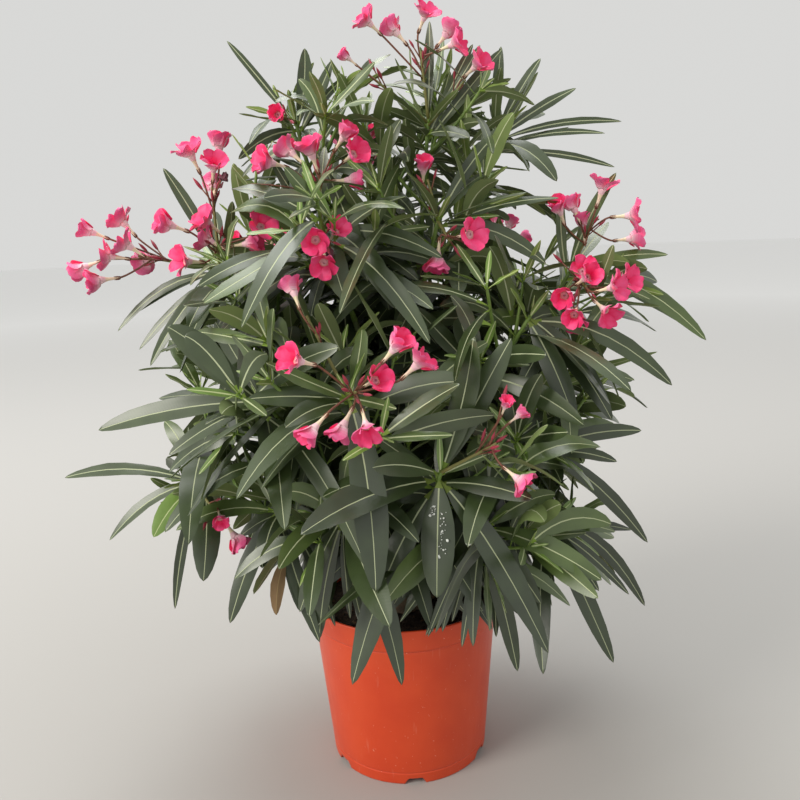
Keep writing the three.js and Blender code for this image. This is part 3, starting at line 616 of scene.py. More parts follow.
# %% [markdown]
# Oleander bark is thin and grey-brown on old wood, with raised dots where air gets in, and turns
# green towards the young ends. A picture of bark could be wrapped round each stem, but it would
# show its seams. A noise that fills space has none. Bark is a fibrous skin, so the noise is
# stretched along the stem.

# %% Bark, shoots and the wooden pieces
BARK_PATCH_MM = 14


def bark_material(name, first, second, roughness, furrow_mm, depth_mm):
    """Fibrous skin: patches of two colours, and furrows four times as long as they are wide."""
    material, surface = new_material(name, first, roughness)
    tone, _ = mottle(material, first, second, BARK_PATCH_MM)
    link(material, tone, surface.inputs["Base Color"])
    stretch = add_node(material, "ShaderNodeMapping", {0: object_place(material)})
    stretch.inputs["Scale"].default_value = (1, 1, 0.25)
    add_relief(material, surface, noise(material, stretch.outputs[0], furrow_mm, 4), depth_mm)
    return material


BARK = bark_material("grey-brown oleander bark", "#6a5a48", "#8a7a62", 0.85, 3.5, 1.0)
GREEN_BARK = bark_material("green young bark", "#5f6d43", "#75804f", 0.6, 3.0, 0.4)
SHOOT_SKIN = bark_material("yellow-green shoot skin", "#5f7a33", "#738c40", 0.5, 3.0, 0.2)
WOOD_ROWS, WOOD_SIDES = 61, 14
SCAR_STEP = 6  # rows from one pair of leaf scars to the next
SCAR_RELIEF, FURROW_RELIEF, GRAIN_RELIEF = 0.07, 0.035, 0.02  # shares of the radius


def even_taper(lines, foot_radius, tip_radius):
    """A radius for each row of many lines, from the foot's to the tip's in even steps."""
    share = np.linspace(0, 1, lines.shape[1])
    return foot_radius + (tip_radius - foot_radius) * share + 0 * lines[:, :, 0]


def wood_piece(name, names, foot_radius, tip_radius, material):
    """All the limbs of one kind as one piece that stands for the model's plain ones. Its relief is
    rings of leaf scars, long furrows that wander by a sine, and grain by chance."""
    lines = np.stack([even_line(LIMBS[limb], WOOD_ROWS) for limb in names])
    lines[:, -1] += unit(lines[:, -1] - lines[:, -2]) * CLEARANCE * 2
    side = np.arange(WOOD_SIDES)
    row = np.arange(WOOD_ROWS)[:, None]
    limb = np.arange(len(names))[:, None, None]
    scars = SCAR_RELIEF * np.exp(-(((row + limb * 2) % SCAR_STEP - SCAR_STEP / 2) ** 2))
    furrows = FURROW_RELIEF * np.sin(side * 2.7 + limb + 1.3 * np.sin(row * 0.21 + limb))
    grain = spread(GRAIN_RELIEF, row, side, limb)
    radii = even_taper(lines, foot_radius, tip_radius)
    piece = tube_piece(name, lines, radii, WOOD_SIDES, [material], scars + furrows + grain)
    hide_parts(*names)


wood_piece("stems", list(STEMS), 6.2, 3.4, BARK)
wood_piece("boughs", [name for name in LIMBS if name not in STEMS], 4.6, 3.2, GREEN_BARK)

# %% [markdown]
# The stool is the short woody foot that all the stems rise from, half hidden in the compost. It
# could be a lump sculpted by hand. A turned outline with lobes and wrinkles round it is enough for
# what the leaves let through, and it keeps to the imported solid's place.

# %% The stool
STOOL_SIDES = 60
STOOL_HEIGHTS = np.array([0, 2, 5, 9, 14, 20, 26, 32, 36, 39, 41, STOOL_HEIGHT])
STOOL_RADII = np.array([38, 36, 33, 30.5, 28.5, 27.3, 28, 30, 30.5, 28, 24, STEM_RING])


def lathed(radius, angle, height):
    """Points at a radius, an angle round the upright axis and a height, as whole arrays."""
    return np.stack([radius * np.cos(angle), radius * np.sin(angle), height + 0 * angle], -1)


def stool_piece():
    """The woody foot: a lathed outline whose radius has broad lobes and fine wrinkles round it."""
    angle = ring_angles(STOOL_SIDES)
    row = np.arange(len(STOOL_HEIGHTS))[:, None]
    lobes = 0.06 * np.sin(7 * angle + 0.2 * row) + 0.03 * np.sin(19 * angle + row)
    wrinkles = spread(0.015, row, np.arange(STOOL_SIDES))
    radius = STOOL_RADII[:, None] * (1 + lobes + wrinkles)
    heights = STOOL_HEIGHTS + COMPOST_TOP + CLEARANCE
    piece = swept_piece("stool", lathed(radius, angle, heights[:, None])[None], [BARK])
    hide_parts("stool")


stool_piece()

# %% [markdown]
# Side shoots leave a leader by the golden turn, 137.5 degrees from one to the next, which is how
# many shrubs share out the light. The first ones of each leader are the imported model's own, by the
# same formula, and the finer ones go on counting from there, shorter and thinner. They could come
# from a tree generator, but then they wouldn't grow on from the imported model's limbs.

# %% Side shoots and finer shoots
GOLDEN_TURN = np.radians(137.5)
SHOOT_SPLAY, SPLAY_SPREAD = 52, 8  # degrees from the leader
SHOOT_RISE = 0.3
FINER_SHOOTS = 3
FINER_FROM = 11  # finer shoots are numbered from here, clear of the model's own
SIDE_REACH, FINER_REACH = 0.8, 0.62  # lengths as shares of the leader's


def side_shoot(leader, owner, number, count, reach, first=0.2, last=0.8):
    """A shoot that leaves the leader at a share of its length, turned round it by the golden turn
    and splayed from it by about 52 degrees."""
    share = first + (last - first) * (number % count + 0.5) / count
    axis = shoot_direction(leader, share)
    flat = unit(np.cross(axis, UP))
    radial = turned(flat, axis, GOLDEN_TURN * number + 2 * np.pi * chance(owner, number))
    splay = np.radians(SHOOT_SPLAY + spread(SPLAY_SPREAD, owner, number, 1))
    direction = axis * np.cos(splay) + radial * np.sin(splay)
    length = leader["length"] * reach * (1 + spread(0.12, owner, number, 2))
    return dict(foot=shoot_point(leader, share), direction=direction, length=length,
                rise=SHOOT_RISE, owner=owner, number=number)


def all_shoots():
    """Leaders first, then side shoots, then finer shoots, as arrays of equal length."""
    shoots = [dict(leader, owner=owner, number=0, kind=0)
              for owner, leader in enumerate(LEADERS.values())]
    for owner, (name, spec) in enumerate(MASSES.items()):
        for number in range(spec["shoots"]):
            shoot = side_shoot(LEADERS[name], owner, number, spec["shoots"], SIDE_REACH)
            shoots.append(dict(shoot, kind=1, number=number + 1))
    for owner, leader in enumerate(LEADERS.values()):
        for number in range(FINER_FROM, FINER_FROM + FINER_SHOOTS):
            shoot = side_shoot(leader, owner, number, FINER_SHOOTS, FINER_REACH, 0.05, 0.7)
            shoots.append(dict(shoot, kind=2))
    return {key: np.array([shoot[key] for shoot in shoots]) for key in shoots[0]}


def shoot_lines(shoots, rows, end):
    """Points on each shoot from its foot to the share of its length at which it ends."""
    share = np.linspace(0, 1, rows) * end[:, None]
    spread_out = {key: value[:, None] for key, value in shoots.items()}
    return shoot_point(spread_out, share)


SHOOTS = all_shoots()
print("leaders and shoots:", len(SHOOTS["owner"]))

# %% [markdown]
# Leaves keep out of each other's way, as they do on the plant, where each grows towards its own
# light. They could be pushed apart by a simulation, which is slow. Here the space is a grid of
# small cells. Every leaf is offered several places round its shoot, and takes the first place whose
# cells are free, or is left off. Leaves whose tips stand out in the photograph are placed first,
# then the whorls, from the youngest to the oldest.

# %% The grid of cells
CELL = 6.0  # mm
GRID_LOW = np.array([-430.0, -330.0, 120.0])
GRID_SIZE = np.array([144, 104, 140])
TAKEN = np.zeros(int(np.prod(GRID_SIZE)), bool)
NUDGES = np.array([[x, y, z] for x in (-1, 0, 1) for y in (-1, 0, 1) for z in (-1, 0, 1)], float)


def cells_of(points):
    """The number of the cell that holds each point."""
    place = np.clip(np.floor((points - GRID_LOW) / CELL).astype(int), 0, GRID_SIZE - 1)
    return (place[..., 0] * GRID_SIZE[1] + place[..., 1]) * GRID_SIZE[2] + place[..., 2]


def take(points, reach=0):
    """Marks the cells of points as taken, with those up to the reach away on every side."""
    around = points[..., None, :] + NUDGES * reach if reach else points
    TAKEN[cells_of(around)] = True


WOOD_REACH = 5
take(np.concatenate([even_line(corners, 120) for corners in LIMBS.values()]), WOOD_REACH)
take(shoot_lines(SHOOTS, 30, np.ones(len(SHOOTS["owner"]))))
print("cells taken by wood:", int(TAKEN.sum()))

# %% [markdown]
# The crown has an outline that a gardener would know it by: a broad skirt over the pot, bulging
# sides and a pointed top, with the wall showing through in places. It could be cut to shape at the
# end, but cut leaves look cut. So a leaf that would cross the outline isn't grown at all.

# %% The crown's outline and gaps
CROWN_MIDDLE = np.array([-12, -24])
CROWN_HALF = np.array([372, 262])
CROWN_SHOULDER, CROWN_TOP, CROWN_TOP_SHARE = 640, 905, 0.5
OUTLINE_MIDDLE = np.array([0, 477])  # mm, on the upright plane through the pot's middle
OUTLINE_STEP = 15  # degrees from the right, over the top, to the left and round
OUTLINE_REACH = np.array([  # mm
    312, 345, 322, 292, 375, 390, 380, 360, 330, 300, 268, 285,
    280, 292, 345, 372, 322, 345, 348, 352, 385, 385, 312, 290])
SKY_GAPS = [  # x, z and radius of the places where the wall shows through the crown
    (165, 636, 29), (143, 712, 13), (177, 700, 12), (273, 521, 15), (295, 512, 14), (246, 356, 14),
    (219, 323, 11), (-234, 475, 13)]
SKIRT_X = np.array([-380, -330, -200, -100, 0, 100, 160, 240, 300, 360])
SKIRT_LOW = np.array([330, 268, 245, 205, 196, 178, 160, 160, 205, 300])  # lowest leaf at each x
POT_REACH, POT_TOP = 125, 215


def outside_crown(points):
    """True outside an oval in plan that narrows, by the square of the rise, above its shoulder."""
    rise = np.clip((points[..., 2] - CROWN_SHOULDER) / (CROWN_TOP - CROWN_SHOULDER), 0, 1)
    share = 1 + (CROWN_TOP_SHARE - 1) * rise**2
    plan = (points[..., :2] - CROWN_MIDDLE) / (CROWN_HALF * share[..., None])
    far = np.linalg.norm(plan, axis=-1) > 1
    low = np.interp(points[..., 0], SKIRT_X, SKIRT_LOW)
    return far | (points[..., 2] < low) | (points[..., 2] > CROWN_TOP)


def outside_outline(points):
    """True where a point, seen from the camera, lies outside the outline of the crown or in one of
    its gaps. The line of sight is cut with the upright plane, and the cut's distance from the middle
    is compared with the reach at its angle."""
    cut = EYE_MM + (points - EYE_MM) * (-EYE_MM[1] / (points[..., 1] - EYE_MM[1]))[..., None]
    x, z = cut[..., 0] - OUTLINE_MIDDLE[0], cut[..., 2] - OUTLINE_MIDDLE[1]
    angle = np.degrees(np.arctan2(z, x)) % 360
    steps = np.arange(0, 360, OUTLINE_STEP)
    outside = np.hypot(x, z) > np.interp(angle, steps, OUTLINE_REACH, period=360)
    for gap_x, gap_z, radius in SKY_GAPS:
        outside |= np.hypot(cut[..., 0] - gap_x, cut[..., 2] - gap_z) < radius
    return outside


def in_pot(points):
    """True inside an upright cylinder a little wider and higher than the pot."""
    return (np.linalg.norm(points[..., :2], axis=-1) < POT_REACH) & (points[..., 2] < POT_TOP)


print("a point in the filling is in the pot:", in_pot(np.array([0, 0, 100.0])))

# %% [markdown]
# A leaf is a curved midrib with a width that swells and narrows along it. Three points are enough
# to bend it, and a formula with two powers gives the lance shape of an oleander leaf, which is
# widest just past its middle. It could be copied from one modelled leaf and bent by a modifier, but
# then each leaf's room in the grid couldn't be known before it is made.

# %% A leaf's line, width and room
STALK_SHARE = 0.045  # the share of the length that is stalk
WIDEST = 0.378  # the greatest value of the blade's formula


def quadratic_lines(start, control, end, share):
    """Many quadratic Bezier curves: the squares and the double product of share and 1 - share."""
    t = share[:, None]
    return start[:, None] * (1 - t) ** 2 + control[:, None] * 2 * t * (1 - t) + end[:, None] * t**2


def leaf_line(leaves, share):
    """A leaf's midrib, from its foot, past its control point, to its tip."""
    return quadratic_lines(leaves["foot"], leaves["control"], leaves["tip"], share)


def leaf_half_width(leaves, share):
    """Half the width along a leaf: the way from the foot to the power 0.8 times the way to the tip
    to the power 0.62, over its own greatest value, and never less than the stalk at the foot."""
    way = np.clip((share - STALK_SHARE) / (1 - STALK_SHARE), 0, 1)
    blade = way**0.8 * (1 - way) ** 0.62 / WIDEST
    stalk = 1.3 * (1 - share) + 0.12
    return np.maximum(leaves["width"][:, None] / 2 * blade, stalk)


def leaf_frame(leaves, share):
    """Tangent, side and face direction along each leaf. The side is turned round the tangent by
    the leaf's twist as it goes out."""
    t = share[:, None]
    foot, control, tip = (leaves[key][:, None, :] for key in ("foot", "control", "tip"))
    tangent = unit((control - foot) * (1 - t) + (tip - control) * t)
    across = leaves["across"][:, None, :]
    side = unit(across - np.sum(across * tangent, -1, keepdims=True) * tangent)
    side = turned(side, tangent, leaves["roll"][:, None] + leaves["twist"][:, None] * share)
    return tangent, side, np.cross(tangent, side)


SAMPLE_ROWS = 26
SAMPLE_ACROSS = np.array([-0.9, -0.45, 0, 0.45, 0.9])
FOOT_ROWS = 6  # rows near the foot, where leaves of one shoot always meet


def leaf_samples(leaves):
    """Points over each leaf, closer together than the cells."""
    share = np.linspace(0, 1, SAMPLE_ROWS)
    _, side, _ = leaf_frame(leaves, share)
    half = leaf_half_width(leaves, share)
    offsets = side[:, :, None, :] * (half[:, :, None] * SAMPLE_ACROSS)[..., None]
    return leaf_line(leaves, share)[:, :, None, :] + offsets


print("samples over a leaf:", SAMPLE_ROWS * len(SAMPLE_ACROSS))

# %% Trying places for leaves
END_ON = 0.86  # the cosine of about 30 degrees from the line of sight
FRONT = -40  # leaves that start nearer to the camera than this are at the front


def choose(leaves, picked):
    """Some of the leaves or shoots, by number or by a true or false for each."""
    return {key: value[picked] for key, value in leaves.items()}


def joined(parts):
    """Several sets of leaves as one."""
    return {key: np.concatenate([part[key] for part in parts]) for key in parts[0]}


def end_on(leaves):
    """True for a leaf at the front that points almost at the camera: it would show as a stub."""
    sight = unit(EYE_MM - leaves["foot"])
    towards = np.sum(unit(leaves["tip"] - leaves["foot"]) * sight, 1)
    return (towards > END_ON) & (leaves["foot"][:, 1] < FRONT)


def place_leaves(tries, allowed, is_known=False):
    """The places tried for each leaf, in turn. A place is free if it lies off the pot, if the share
    of its outer cells that others have taken is no more than allowed, and if it lies in the crown,
    which needs no test where the photograph gives the leaf's tip."""
    samples = [leaf_samples(leaves) for leaves in tries]
    blades = [points[:, FOOT_ROWS:] for points in samples]
    barred = [in_pot(blade) for blade in blades]
    if not is_known:
        barred = [known | outside_crown(blade) | outside_outline(blade) | end_on(leaves)[:, None, None]
                  for known, blade, leaves in zip(barred, blades, tries)]
    barred = [points.any((1, 2)) for points in barred]
    cells = [cells_of(points).reshape(len(points), -1) for points in samples]
    tested = (FOOT_ROWS + 1) * len(SAMPLE_ACROSS)
    marked = (FOOT_ROWS - 2) * len(SAMPLE_ACROSS)
    kept = [[] for _ in tries]
    for leaf in range(len(samples[0])):
        for k in range(len(tries)):
            if not barred[k][leaf] and TAKEN[cells[k][leaf, tested:]].mean() <= allowed:
                TAKEN[cells[k][leaf, marked:]] = True
                kept[k].append(leaf)
                break
    return joined([choose(leaves, np.array(rows, int)) for leaves, rows in zip(tries, kept)])


# %% [markdown]
# About a hundred long leaves stand out in the photograph by their tips. They fix the plant's
# likeness, so they are grown first and need no room. Each could be drawn as a curve of its own, but
# a tip is all that can be read surely. The rest of the leaf follows from where its shoot is.

# %% Leaves whose tips show in the photograph
OLD_BELOW = 470  # mm: the long leaves that hang lower than this are old and dark
WHORL_STAGGER = 2.4  # mm from one leaf of a whorl to the next, along the shoot
BROAD_BELOW, SLIM_ABOVE = 380, 750  # mm
BROAD, SLIM = 0.21, 0.155  # width over length, low on the plant and at its top
WIDTH_SPREAD = 0.13
ARCH, HANGING_ARCH, STEEPEST = 0.05, 0.18, 0.6
ARCH_SHARE = 0.495  # a curve rises by this share of what its control point does


def leaf_width(length, height, *keys):
    """Leaves are broad low on the plant and slim at its top, with a little chance."""
    share = np.clip((height - BROAD_BELOW) / (SLIM_ABOVE - BROAD_BELOW), 0, 1)
    return length * (BROAD - (BROAD - SLIM) * share) * (1 + spread(WIDTH_SPREAD, *keys))


def given(known, place, otherwise):
    """A number that some known tips have in the table, and what the others have instead."""
    return np.array([tip[place] if len(tip) > place else own for tip, own in zip(known, otherwise)])


def tip_leaves():
    """A known leaf starts on the leader near its tip, arches over, and ends at the known point. It
    arches more, the more its tip hangs below its foot. A fourth number in the table is its width,
    where the photograph shows it face on, and a fifth is its age: -1 the youngest, 3 the oldest."""
    rows = [(owner, number, LEADERS[name], place) for owner, (name, spec) in enumerate(MASSES.items())
            for number, place in enumerate(spec["tips"])]
    owner, number = (np.array([row[k] for row in rows]) for k in (0, 1))
    known = [row[3] for row in rows]
    tip = np.array([place[:3] for place in known], float)
    leaders = {key: np.array([row[2][key] for row in rows]) for key in rows[0][2]}
    share = 0.95 - WHORL_STAGGER * number / leaders["length"]
    foot = shoot_point(leaders, share)
    chord = tip - foot
    length = np.linalg.norm(chord, axis=1)
    seen = np.array([len(place) > 3 for place in known])[:, None]
    sight = unit(EYE_MM - foot)
    facing = np.where(seen, sight + 0.5 * UP, UP + 0.6 * unit(foot * [1, 1, 0]))
    across = unit(np.cross(facing, chord))
    drop = np.clip(-chord[:, 2] / length, 0, STEEPEST)
    arch = (ARCH + HANGING_ARCH * drop) * np.linalg.norm(chord[:, :2], axis=1)
    control = (foot + tip) / 2 + UP * (arch / ARCH_SHARE)[:, None]
    control += across * (length * spread(0.08, owner, number, 41))[:, None]
    width = given(known, 3, leaf_width(length, foot[:, 2], owner, number, 42))
    level = given(known, 4, np.where(tip[:, 2] < OLD_BELOW, 3, 1))
    return dict(foot=foot, control=control, tip=tip, across=across, length=length, width=width,
                roll=spread(0.25, owner, number, 43), twist=spread(0.35, owner, number, 44),
                owner=owner, shoot=owner, level=level, number=number, share=share)


TIP_LEAVES = tip_leaves()
print("longest leaf with a known tip, mm:", round(float(TIP_LEAVES["length"].max())))

# %% [markdown]
# Along every shoot the leaves stand in threes, each three turned by 60 degrees from the last. A
# leaf's angle to its shoot falls as it ages, and its own weight bends it down more and more. The
# leaves low on the plant are the longest, the broadest and the most bent. A whorl could be one
# object, copied along the shoot, but then all whorls would find the same room or none.

# %% Whorls of three along every shoot
WHORL_STEP = 21  # mm from one whorl to the next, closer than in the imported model
FIRST_WHORL = 5  # mm from the shoot's tip down to its youngest whorl
BARE_FOOT = 14  # mm at a shoot's foot without leaves
TURNS = np.radians([0, 24, -24, 46, -46])
YOUNG_RISE, OLD_DROP, AGE_STEP = 58, 30, 30  # degrees up, and degrees lost for each step in mm
LOW_LEAVES, LOW_DEPTH = 520, 300  # mm: leaves hang more from here down, fully after the depth
AGE_SIZES = [0.74, 0.92, 1.0]  # lengths of the youngest leaves as shares of a full one's


def raised(radial, axis, angle):
    """Directions that stand up from a radial direction towards the axis by an angle."""
    return radial * np.cos(angle)[:, None] + axis * np.sin(angle)[:, None]


def turned_tries(leaves, flat, axis, phase, angle, droop, sway):
    """The same leaves at each of the turns round their shoot: out by the length at the angle, down
    by the droop times the length, and bent sideways by the sway times the length."""
    tries = []
    length = leaves["length"][:, None]
    for turn in TURNS:
        radial = turned(flat, axis, phase + turn)
        direction = raised(radial, axis, angle)
        across = unit(np.cross(axis, radial))
        tries.append(dict(
            leaves, across=across,
            control=leaves["foot"] + direction * length / 2 + across * (length * sway[:, None]),
            tip=leaves["foot"] + direction * length - UP * (droop[:, None] * length)))
    return tries


def whorl_leaves():
    """Leaf j of whorl k on a shoot stands 120 degrees times j plus 60 times k round it, and rises
    from square to it by 58 degrees less 1 for each mm that it stands below the shoot's tip. Its
    droop grows with the same distance."""
    levels = np.maximum(((SHOOTS["length"] - BARE_FOOT) // WHORL_STEP).astype(int), 1)
    rows = np.array([(shoot, level, leaf) for level in range(levels.max())
                     for shoot in range(len(levels)) for leaf in range(3) if level < levels[shoot]])
    shoot, level, leaf = rows.T
    own = choose(SHOOTS, shoot)
    owner, number = own["owner"], own["number"]
    drop = FIRST_WHORL + WHORL_STEP * level + WHORL_STAGGER * leaf
    share = 1 - drop / own["length"]
    foot = shoot_point(own, share)
    axis = shoot_direction(own, share)
    flat = unit(np.cross(axis, UP))
    phase = 2 * np.pi * chance(owner, number, 5) + np.radians(60 * level + 120 * leaf)
    age = drop / AGE_STEP
    key = leaf + 10 * level
    rise = np.maximum(YOUNG_RISE - OLD_DROP * age, -OLD_DROP)
    angle = np.radians(rise + spread(10, owner, number, key, 0))
    low = np.clip((LOW_LEAVES - foot[:, 2]) / LOW_DEPTH, 0, 1)
    droop = np.minimum(0.14 + 0.26 * age, 0.8) + 0.3 * low + spread(0.2, owner, number, key, 6)
    size = np.choose(np.minimum(level, 2), AGE_SIZES)
    leaf_length = np.array([spec["leaf"] for spec in MASSES.values()], float)[owner]
    length = leaf_length * size * (1 + spread(0.12, owner, number, key, 3))
    length = length * np.where(own["kind"] == 2, 0.88, 1.0)
    leaves = dict(
        foot=foot, length=length, width=leaf_width(length, foot[:, 2], owner, number, key),
        roll=spread(0.3, owner, number, key, 9), twist=spread(0.8, owner, number, key, 10),
        owner=owner, shoot=shoot, level=level, number=number, share=share)
    sway = spread(0.1, owner, number, key, 8)
    return turned_tries(leaves, flat, axis, phase, angle, droop, sway)


WHORL_LEAVES = whorl_leaves()
print("leaves in whorls before any is left off:", len(WHORL_LEAVES[0]["length"]))

# %% [markdown]
# Flowers stand in loose heads on forked stalks over the shoots' tips. They could be fitted in
# between the leaves at the end, but then leaves would grow through them. So each flower's place is
# fixed first, and the leaves keep clear of it.

# %% Where flowers stand
HEAD_STAGGER = 13  # mm that flowers of a head stand before and behind its middle by turns
HEAD_STEP = 3.5  # mm down the leader from one head's foot to the next
HEAD_REACH = 0.75  # how far a head's main stalk goes towards the middle of its flowers
FIRST_FORK, FORK_SPAN = 0.55, 0.42  # shares of that stalk where the small stalks leave it
FACING_SPREAD, SIZE_SPREAD = 0.3, 0.08
HIDDEN_HEADS = dict(height=62, spread=24, width=20, widening=6)


def grown_head(owner, leader, count):
    """Flowers of a head that the photograph hides: a loose fan over the leader by the golden turn."""
    hub, axis = shoot_point(leader, 1.0), shoot_direction(leader, 1.0)
    number = np.arange(count)
    flat = np.broadcast_to(unit(np.cross(axis, UP)), (count, 3))
    spoke = turned(flat, axis, GOLDEN_TURN * number)
    height = HIDDEN_HEADS["height"] + HIDDEN_HEADS["spread"] * chance(owner, number, 3)
    reach = HIDDEN_HEADS["width"] + HIDDEN_HEADS["widening"] * number
    return hub + axis * height[:, None] + spoke * reach[:, None]


def all_heads():
    """Each head's stalk, from the leader's tip towards the middle of its flowers, and its flowers.
    A third number in a flower's place is its size, where it is only starting to open."""
    heads = []
    for owner, (name, spec) in enumerate(MASSES.items()):
        leader = LEADERS[name]
        hub = shoot_point(leader, 1.0)
        groups = []
        for depth, places in spec["heads"]:
            sign = np.where(np.arange(len(places)) % 2 == 1, 1, -1)
            x, z = np.array([place[:2] for place in places], float).T
            centres = np.stack([x, depth + HEAD_STAGGER * sign, z], 1)
            groups.append((centres, [place[2] if len(place) > 2 else 1.0 for place in places]))
        if spec["grown"]:
            groups.append((grown_head(owner, leader, spec["grown"]), [1.0] * spec["grown"]))
        for i, (centres, size) in enumerate(groups):
            foot = hub - shoot_direction(leader, 1.0) * HEAD_STEP * (i + 0.5)
            end = foot + (centres.mean(0) - foot) * HEAD_REACH
            heads.append(dict(foot=foot, end=end, centres=centres, owner=owner, number=i, size=size))
    return heads


HEADS = all_heads()


def flower_rows():
    """Centre, fork, facing, size and number of every flower, as arrays. A flower faces away from
    its fork and a little outwards from the plant's middle, with some chance."""
    centre = np.concatenate([head["centres"] for head in HEADS])
    count = np.array([len(head["centres"]) for head in HEADS])
    head = np.repeat(np.arange(len(HEADS)), count)
    number = np.arange(len(centre))
    order = np.concatenate([np.arange(flowers) for flowers in count])
    share = FIRST_FORK + FORK_SPAN * (order + 0.5) / count[head]
    foot, end = (np.array([head[key] for head in HEADS])[head] for key in ("foot", "end"))
    fork = foot + (end - foot) * share[:, None]
    tilt = np.stack([spread(FACING_SPREAD, head, number, k) for k in (31, 32, 33)], 1)
    facing = unit(unit(centre - fork) + 0.2 * unit(centre * [1, 1, 0]) + tilt)
    size = np.concatenate([head["size"] for head in HEADS]) * (1 + spread(SIZE_SPREAD, number, 83))
    first = unit(np.cross(facing, np.array([0.3, 1, 0.2])))
    return dict(centre=centre, fork=fork, facing=facing, first=first,
                second=np.cross(facing, first), number=number, size=size)


FLOWERS = flower_rows()
print("flower heads:", len(HEADS), "flowers:", len(FLOWERS["centre"]))

# %% Room for the flowers
PETAL_REACH, STALK_REACH, SIGHT_REACH = 12, 5, 9  # mm kept clear on every side
SIGHT = np.arange(15, 165, 5)  # mm in front of a flower, towards the camera
CLEAR_HUBS = ["front-low", "upper-left", "right-middle"]  # their young leaves show from the front


def clear_flowers():
    """Leaves keep off every flower and stalk, off the lines of sight to the flowers in front, and
    off those to the leader tips whose young leaves show."""
    centre, fork = FLOWERS["centre"], FLOWERS["fork"]
    take(centre, PETAL_REACH)
    take(centre - FLOWERS["facing"] * PETAL_REACH)
    way = np.linspace(0.1, 1, 8)[:, None]
    take(np.stack([head["foot"] + (head["end"] - head["foot"]) * way for head in HEADS]), STALK_REACH)
    take(fork[:, None] + (centre - fork)[:, None] * way)
    hubs = np.array([shoot_point(LEADERS[name], 1.0) for name in CLEAR_HUBS])
    front = np.concatenate([centre[centre[:, 1] < 0], hubs, hubs - [0, 0, 20]])
    take(front[:, None] + unit(EYE_MM - front)[:, None] * SIGHT[:, None], SIGHT_REACH)


clear_flowers()
print("cells taken by wood and flowers:", int(TAKEN.sum()))

# %% [markdown]
# Older leaves still stand along each stem and bough, down to near the compost. Bare limbs would be
# simpler, but the plant is leafy right down to its pot. These leaves follow the rule of the whorls.

# %% Leaves on the stems and boughs
LIMB_SHOOTS = 400  # counted on from here, so that their numbers differ from the shoots' own
MOST_STEPS, LEAFY_SHARE, LIMB_END = 16, 0.88, 10  # whorls, share of a limb, mm at its end
LIMB_LEAF, NEAR_POT, NEAR_POT_DEPTH = 138, 350, 80  # mm
LIMB_PARTS = 240


def inner_leaves():
    """Leaf j of whorl k stands k whorl steps down its limb, as in whorl_leaves. Leaves hang more
    the further down they stand, and are up to 0.4 shorter by the pot."""
    lines = [even_line(corners, LIMB_PARTS + 1) for corners in LIMBS.values()]
    reach = np.array([np.linalg.norm(np.diff(line, axis=0), axis=1).sum() for line in lines])
    rows = np.array([
        (limb, step, leaf) for step in range(MOST_STEPS) for limb in range(len(lines))
        for leaf in range(3) if LIMB_END + WHORL_STEP * step < LEAFY_SHARE * reach[limb]])
    limb, step, leaf = rows.T
    share = 1 - (LIMB_END + WHORL_STEP * step + WHORL_STAGGER * leaf) / reach[limb]
    place = np.clip((share * LIMB_PARTS).astype(int), 1, LIMB_PARTS - 1)
    foot = np.array([lines[i][k] for i, k in zip(limb, place)])
    axis = unit(np.array([lines[i][k + 1] - lines[i][k - 1] for i, k in zip(limb, place)]))
    flat = unit(np.cross(axis, UP + [0, 0.01, 0]))
    phase = 2 * np.pi * chance(limb, 51) + np.radians(60 * step + 120 * leaf)
    angle = np.radians(spread(14, limb, step, leaf, 52) - 4 * np.minimum(step, 5))
    near_pot = np.clip((NEAR_POT - foot[:, 2]) / NEAR_POT_DEPTH, 0, 1)
    length = LIMB_LEAF * (1 - 0.4 * near_pot) * (1 + spread(0.15, limb, step, leaf, 53))
    droop = 0.5 + 0.03 * step + spread(0.2, limb, step, leaf, 54)
    leaves = dict(
        foot=foot, length=length, width=leaf_width(length, foot[:, 2], limb, step, leaf),
        roll=spread(0.3, limb, step, leaf, 55), twist=spread(0.5, limb, step, leaf, 56),
        owner=limb, shoot=limb + LIMB_SHOOTS, level=4 + 0 * limb, number=leaf, share=share)
    return turned_tries(leaves, flat, axis, phase, angle, droop, 0 * length)


INNER_LEAVES = inner_leaves()
print("leaves on limbs before any is left off:", len(INNER_LEAVES[0]["length"]))

# %% Placing the leaves
ALLOWED = dict(shown=0.6, grown=0.05, inner=0.25, tuft=0.5)  # share of cells that others may have
shown = place_leaves([TIP_LEAVES], ALLOWED["shown"], True)
print("leaves with a known tip:", len(shown["length"]))
grown = place_leaves(WHORL_LEAVES, ALLOWED["grown"])
print("leaves in whorls:", len(grown["length"]))
inner = place_leaves(INNER_LEAVES, ALLOWED["inner"])
print("leaves on stems and boughs:", len(inner["length"]))
LEAVES = joined([shown, grown, inner])

# %% Shoots end at their youngest leaf
FEWEST_LEAVES = 3  # a shoot that found room for fewer is left out, with its leaves


def shoot_ends(leaves):
    """The share of its length at which each shoot ends: just past its youngest leaf, at its whole
    length where it carries flowers, and 0 where it is left out."""
    on_shoot = leaves["shoot"] < LIMB_SHOOTS
    count = np.bincount(leaves["shoot"][on_shoot], minlength=len(SHOOTS["owner"]))
    end = np.zeros(len(count))
    np.maximum.at(end, leaves["shoot"][on_shoot], leaves["share"][on_shoot])
    end = np.minimum(end + 2.5 / SHOOTS["length"], 1.0) * (count >= FEWEST_LEAVES)
    end[[head["owner"] for head in HEADS]] = 1.0
    return end


SHOOT_ENDS = shoot_ends(LEAVES)
stays = np.array([shoot >= LIMB_SHOOTS or SHOOT_ENDS[shoot] > 0 for shoot in LEAVES["shoot"]])
LEAVES = choose(LEAVES, stays)
print("leaves on shoots that are kept:", len(LEAVES["length"]))

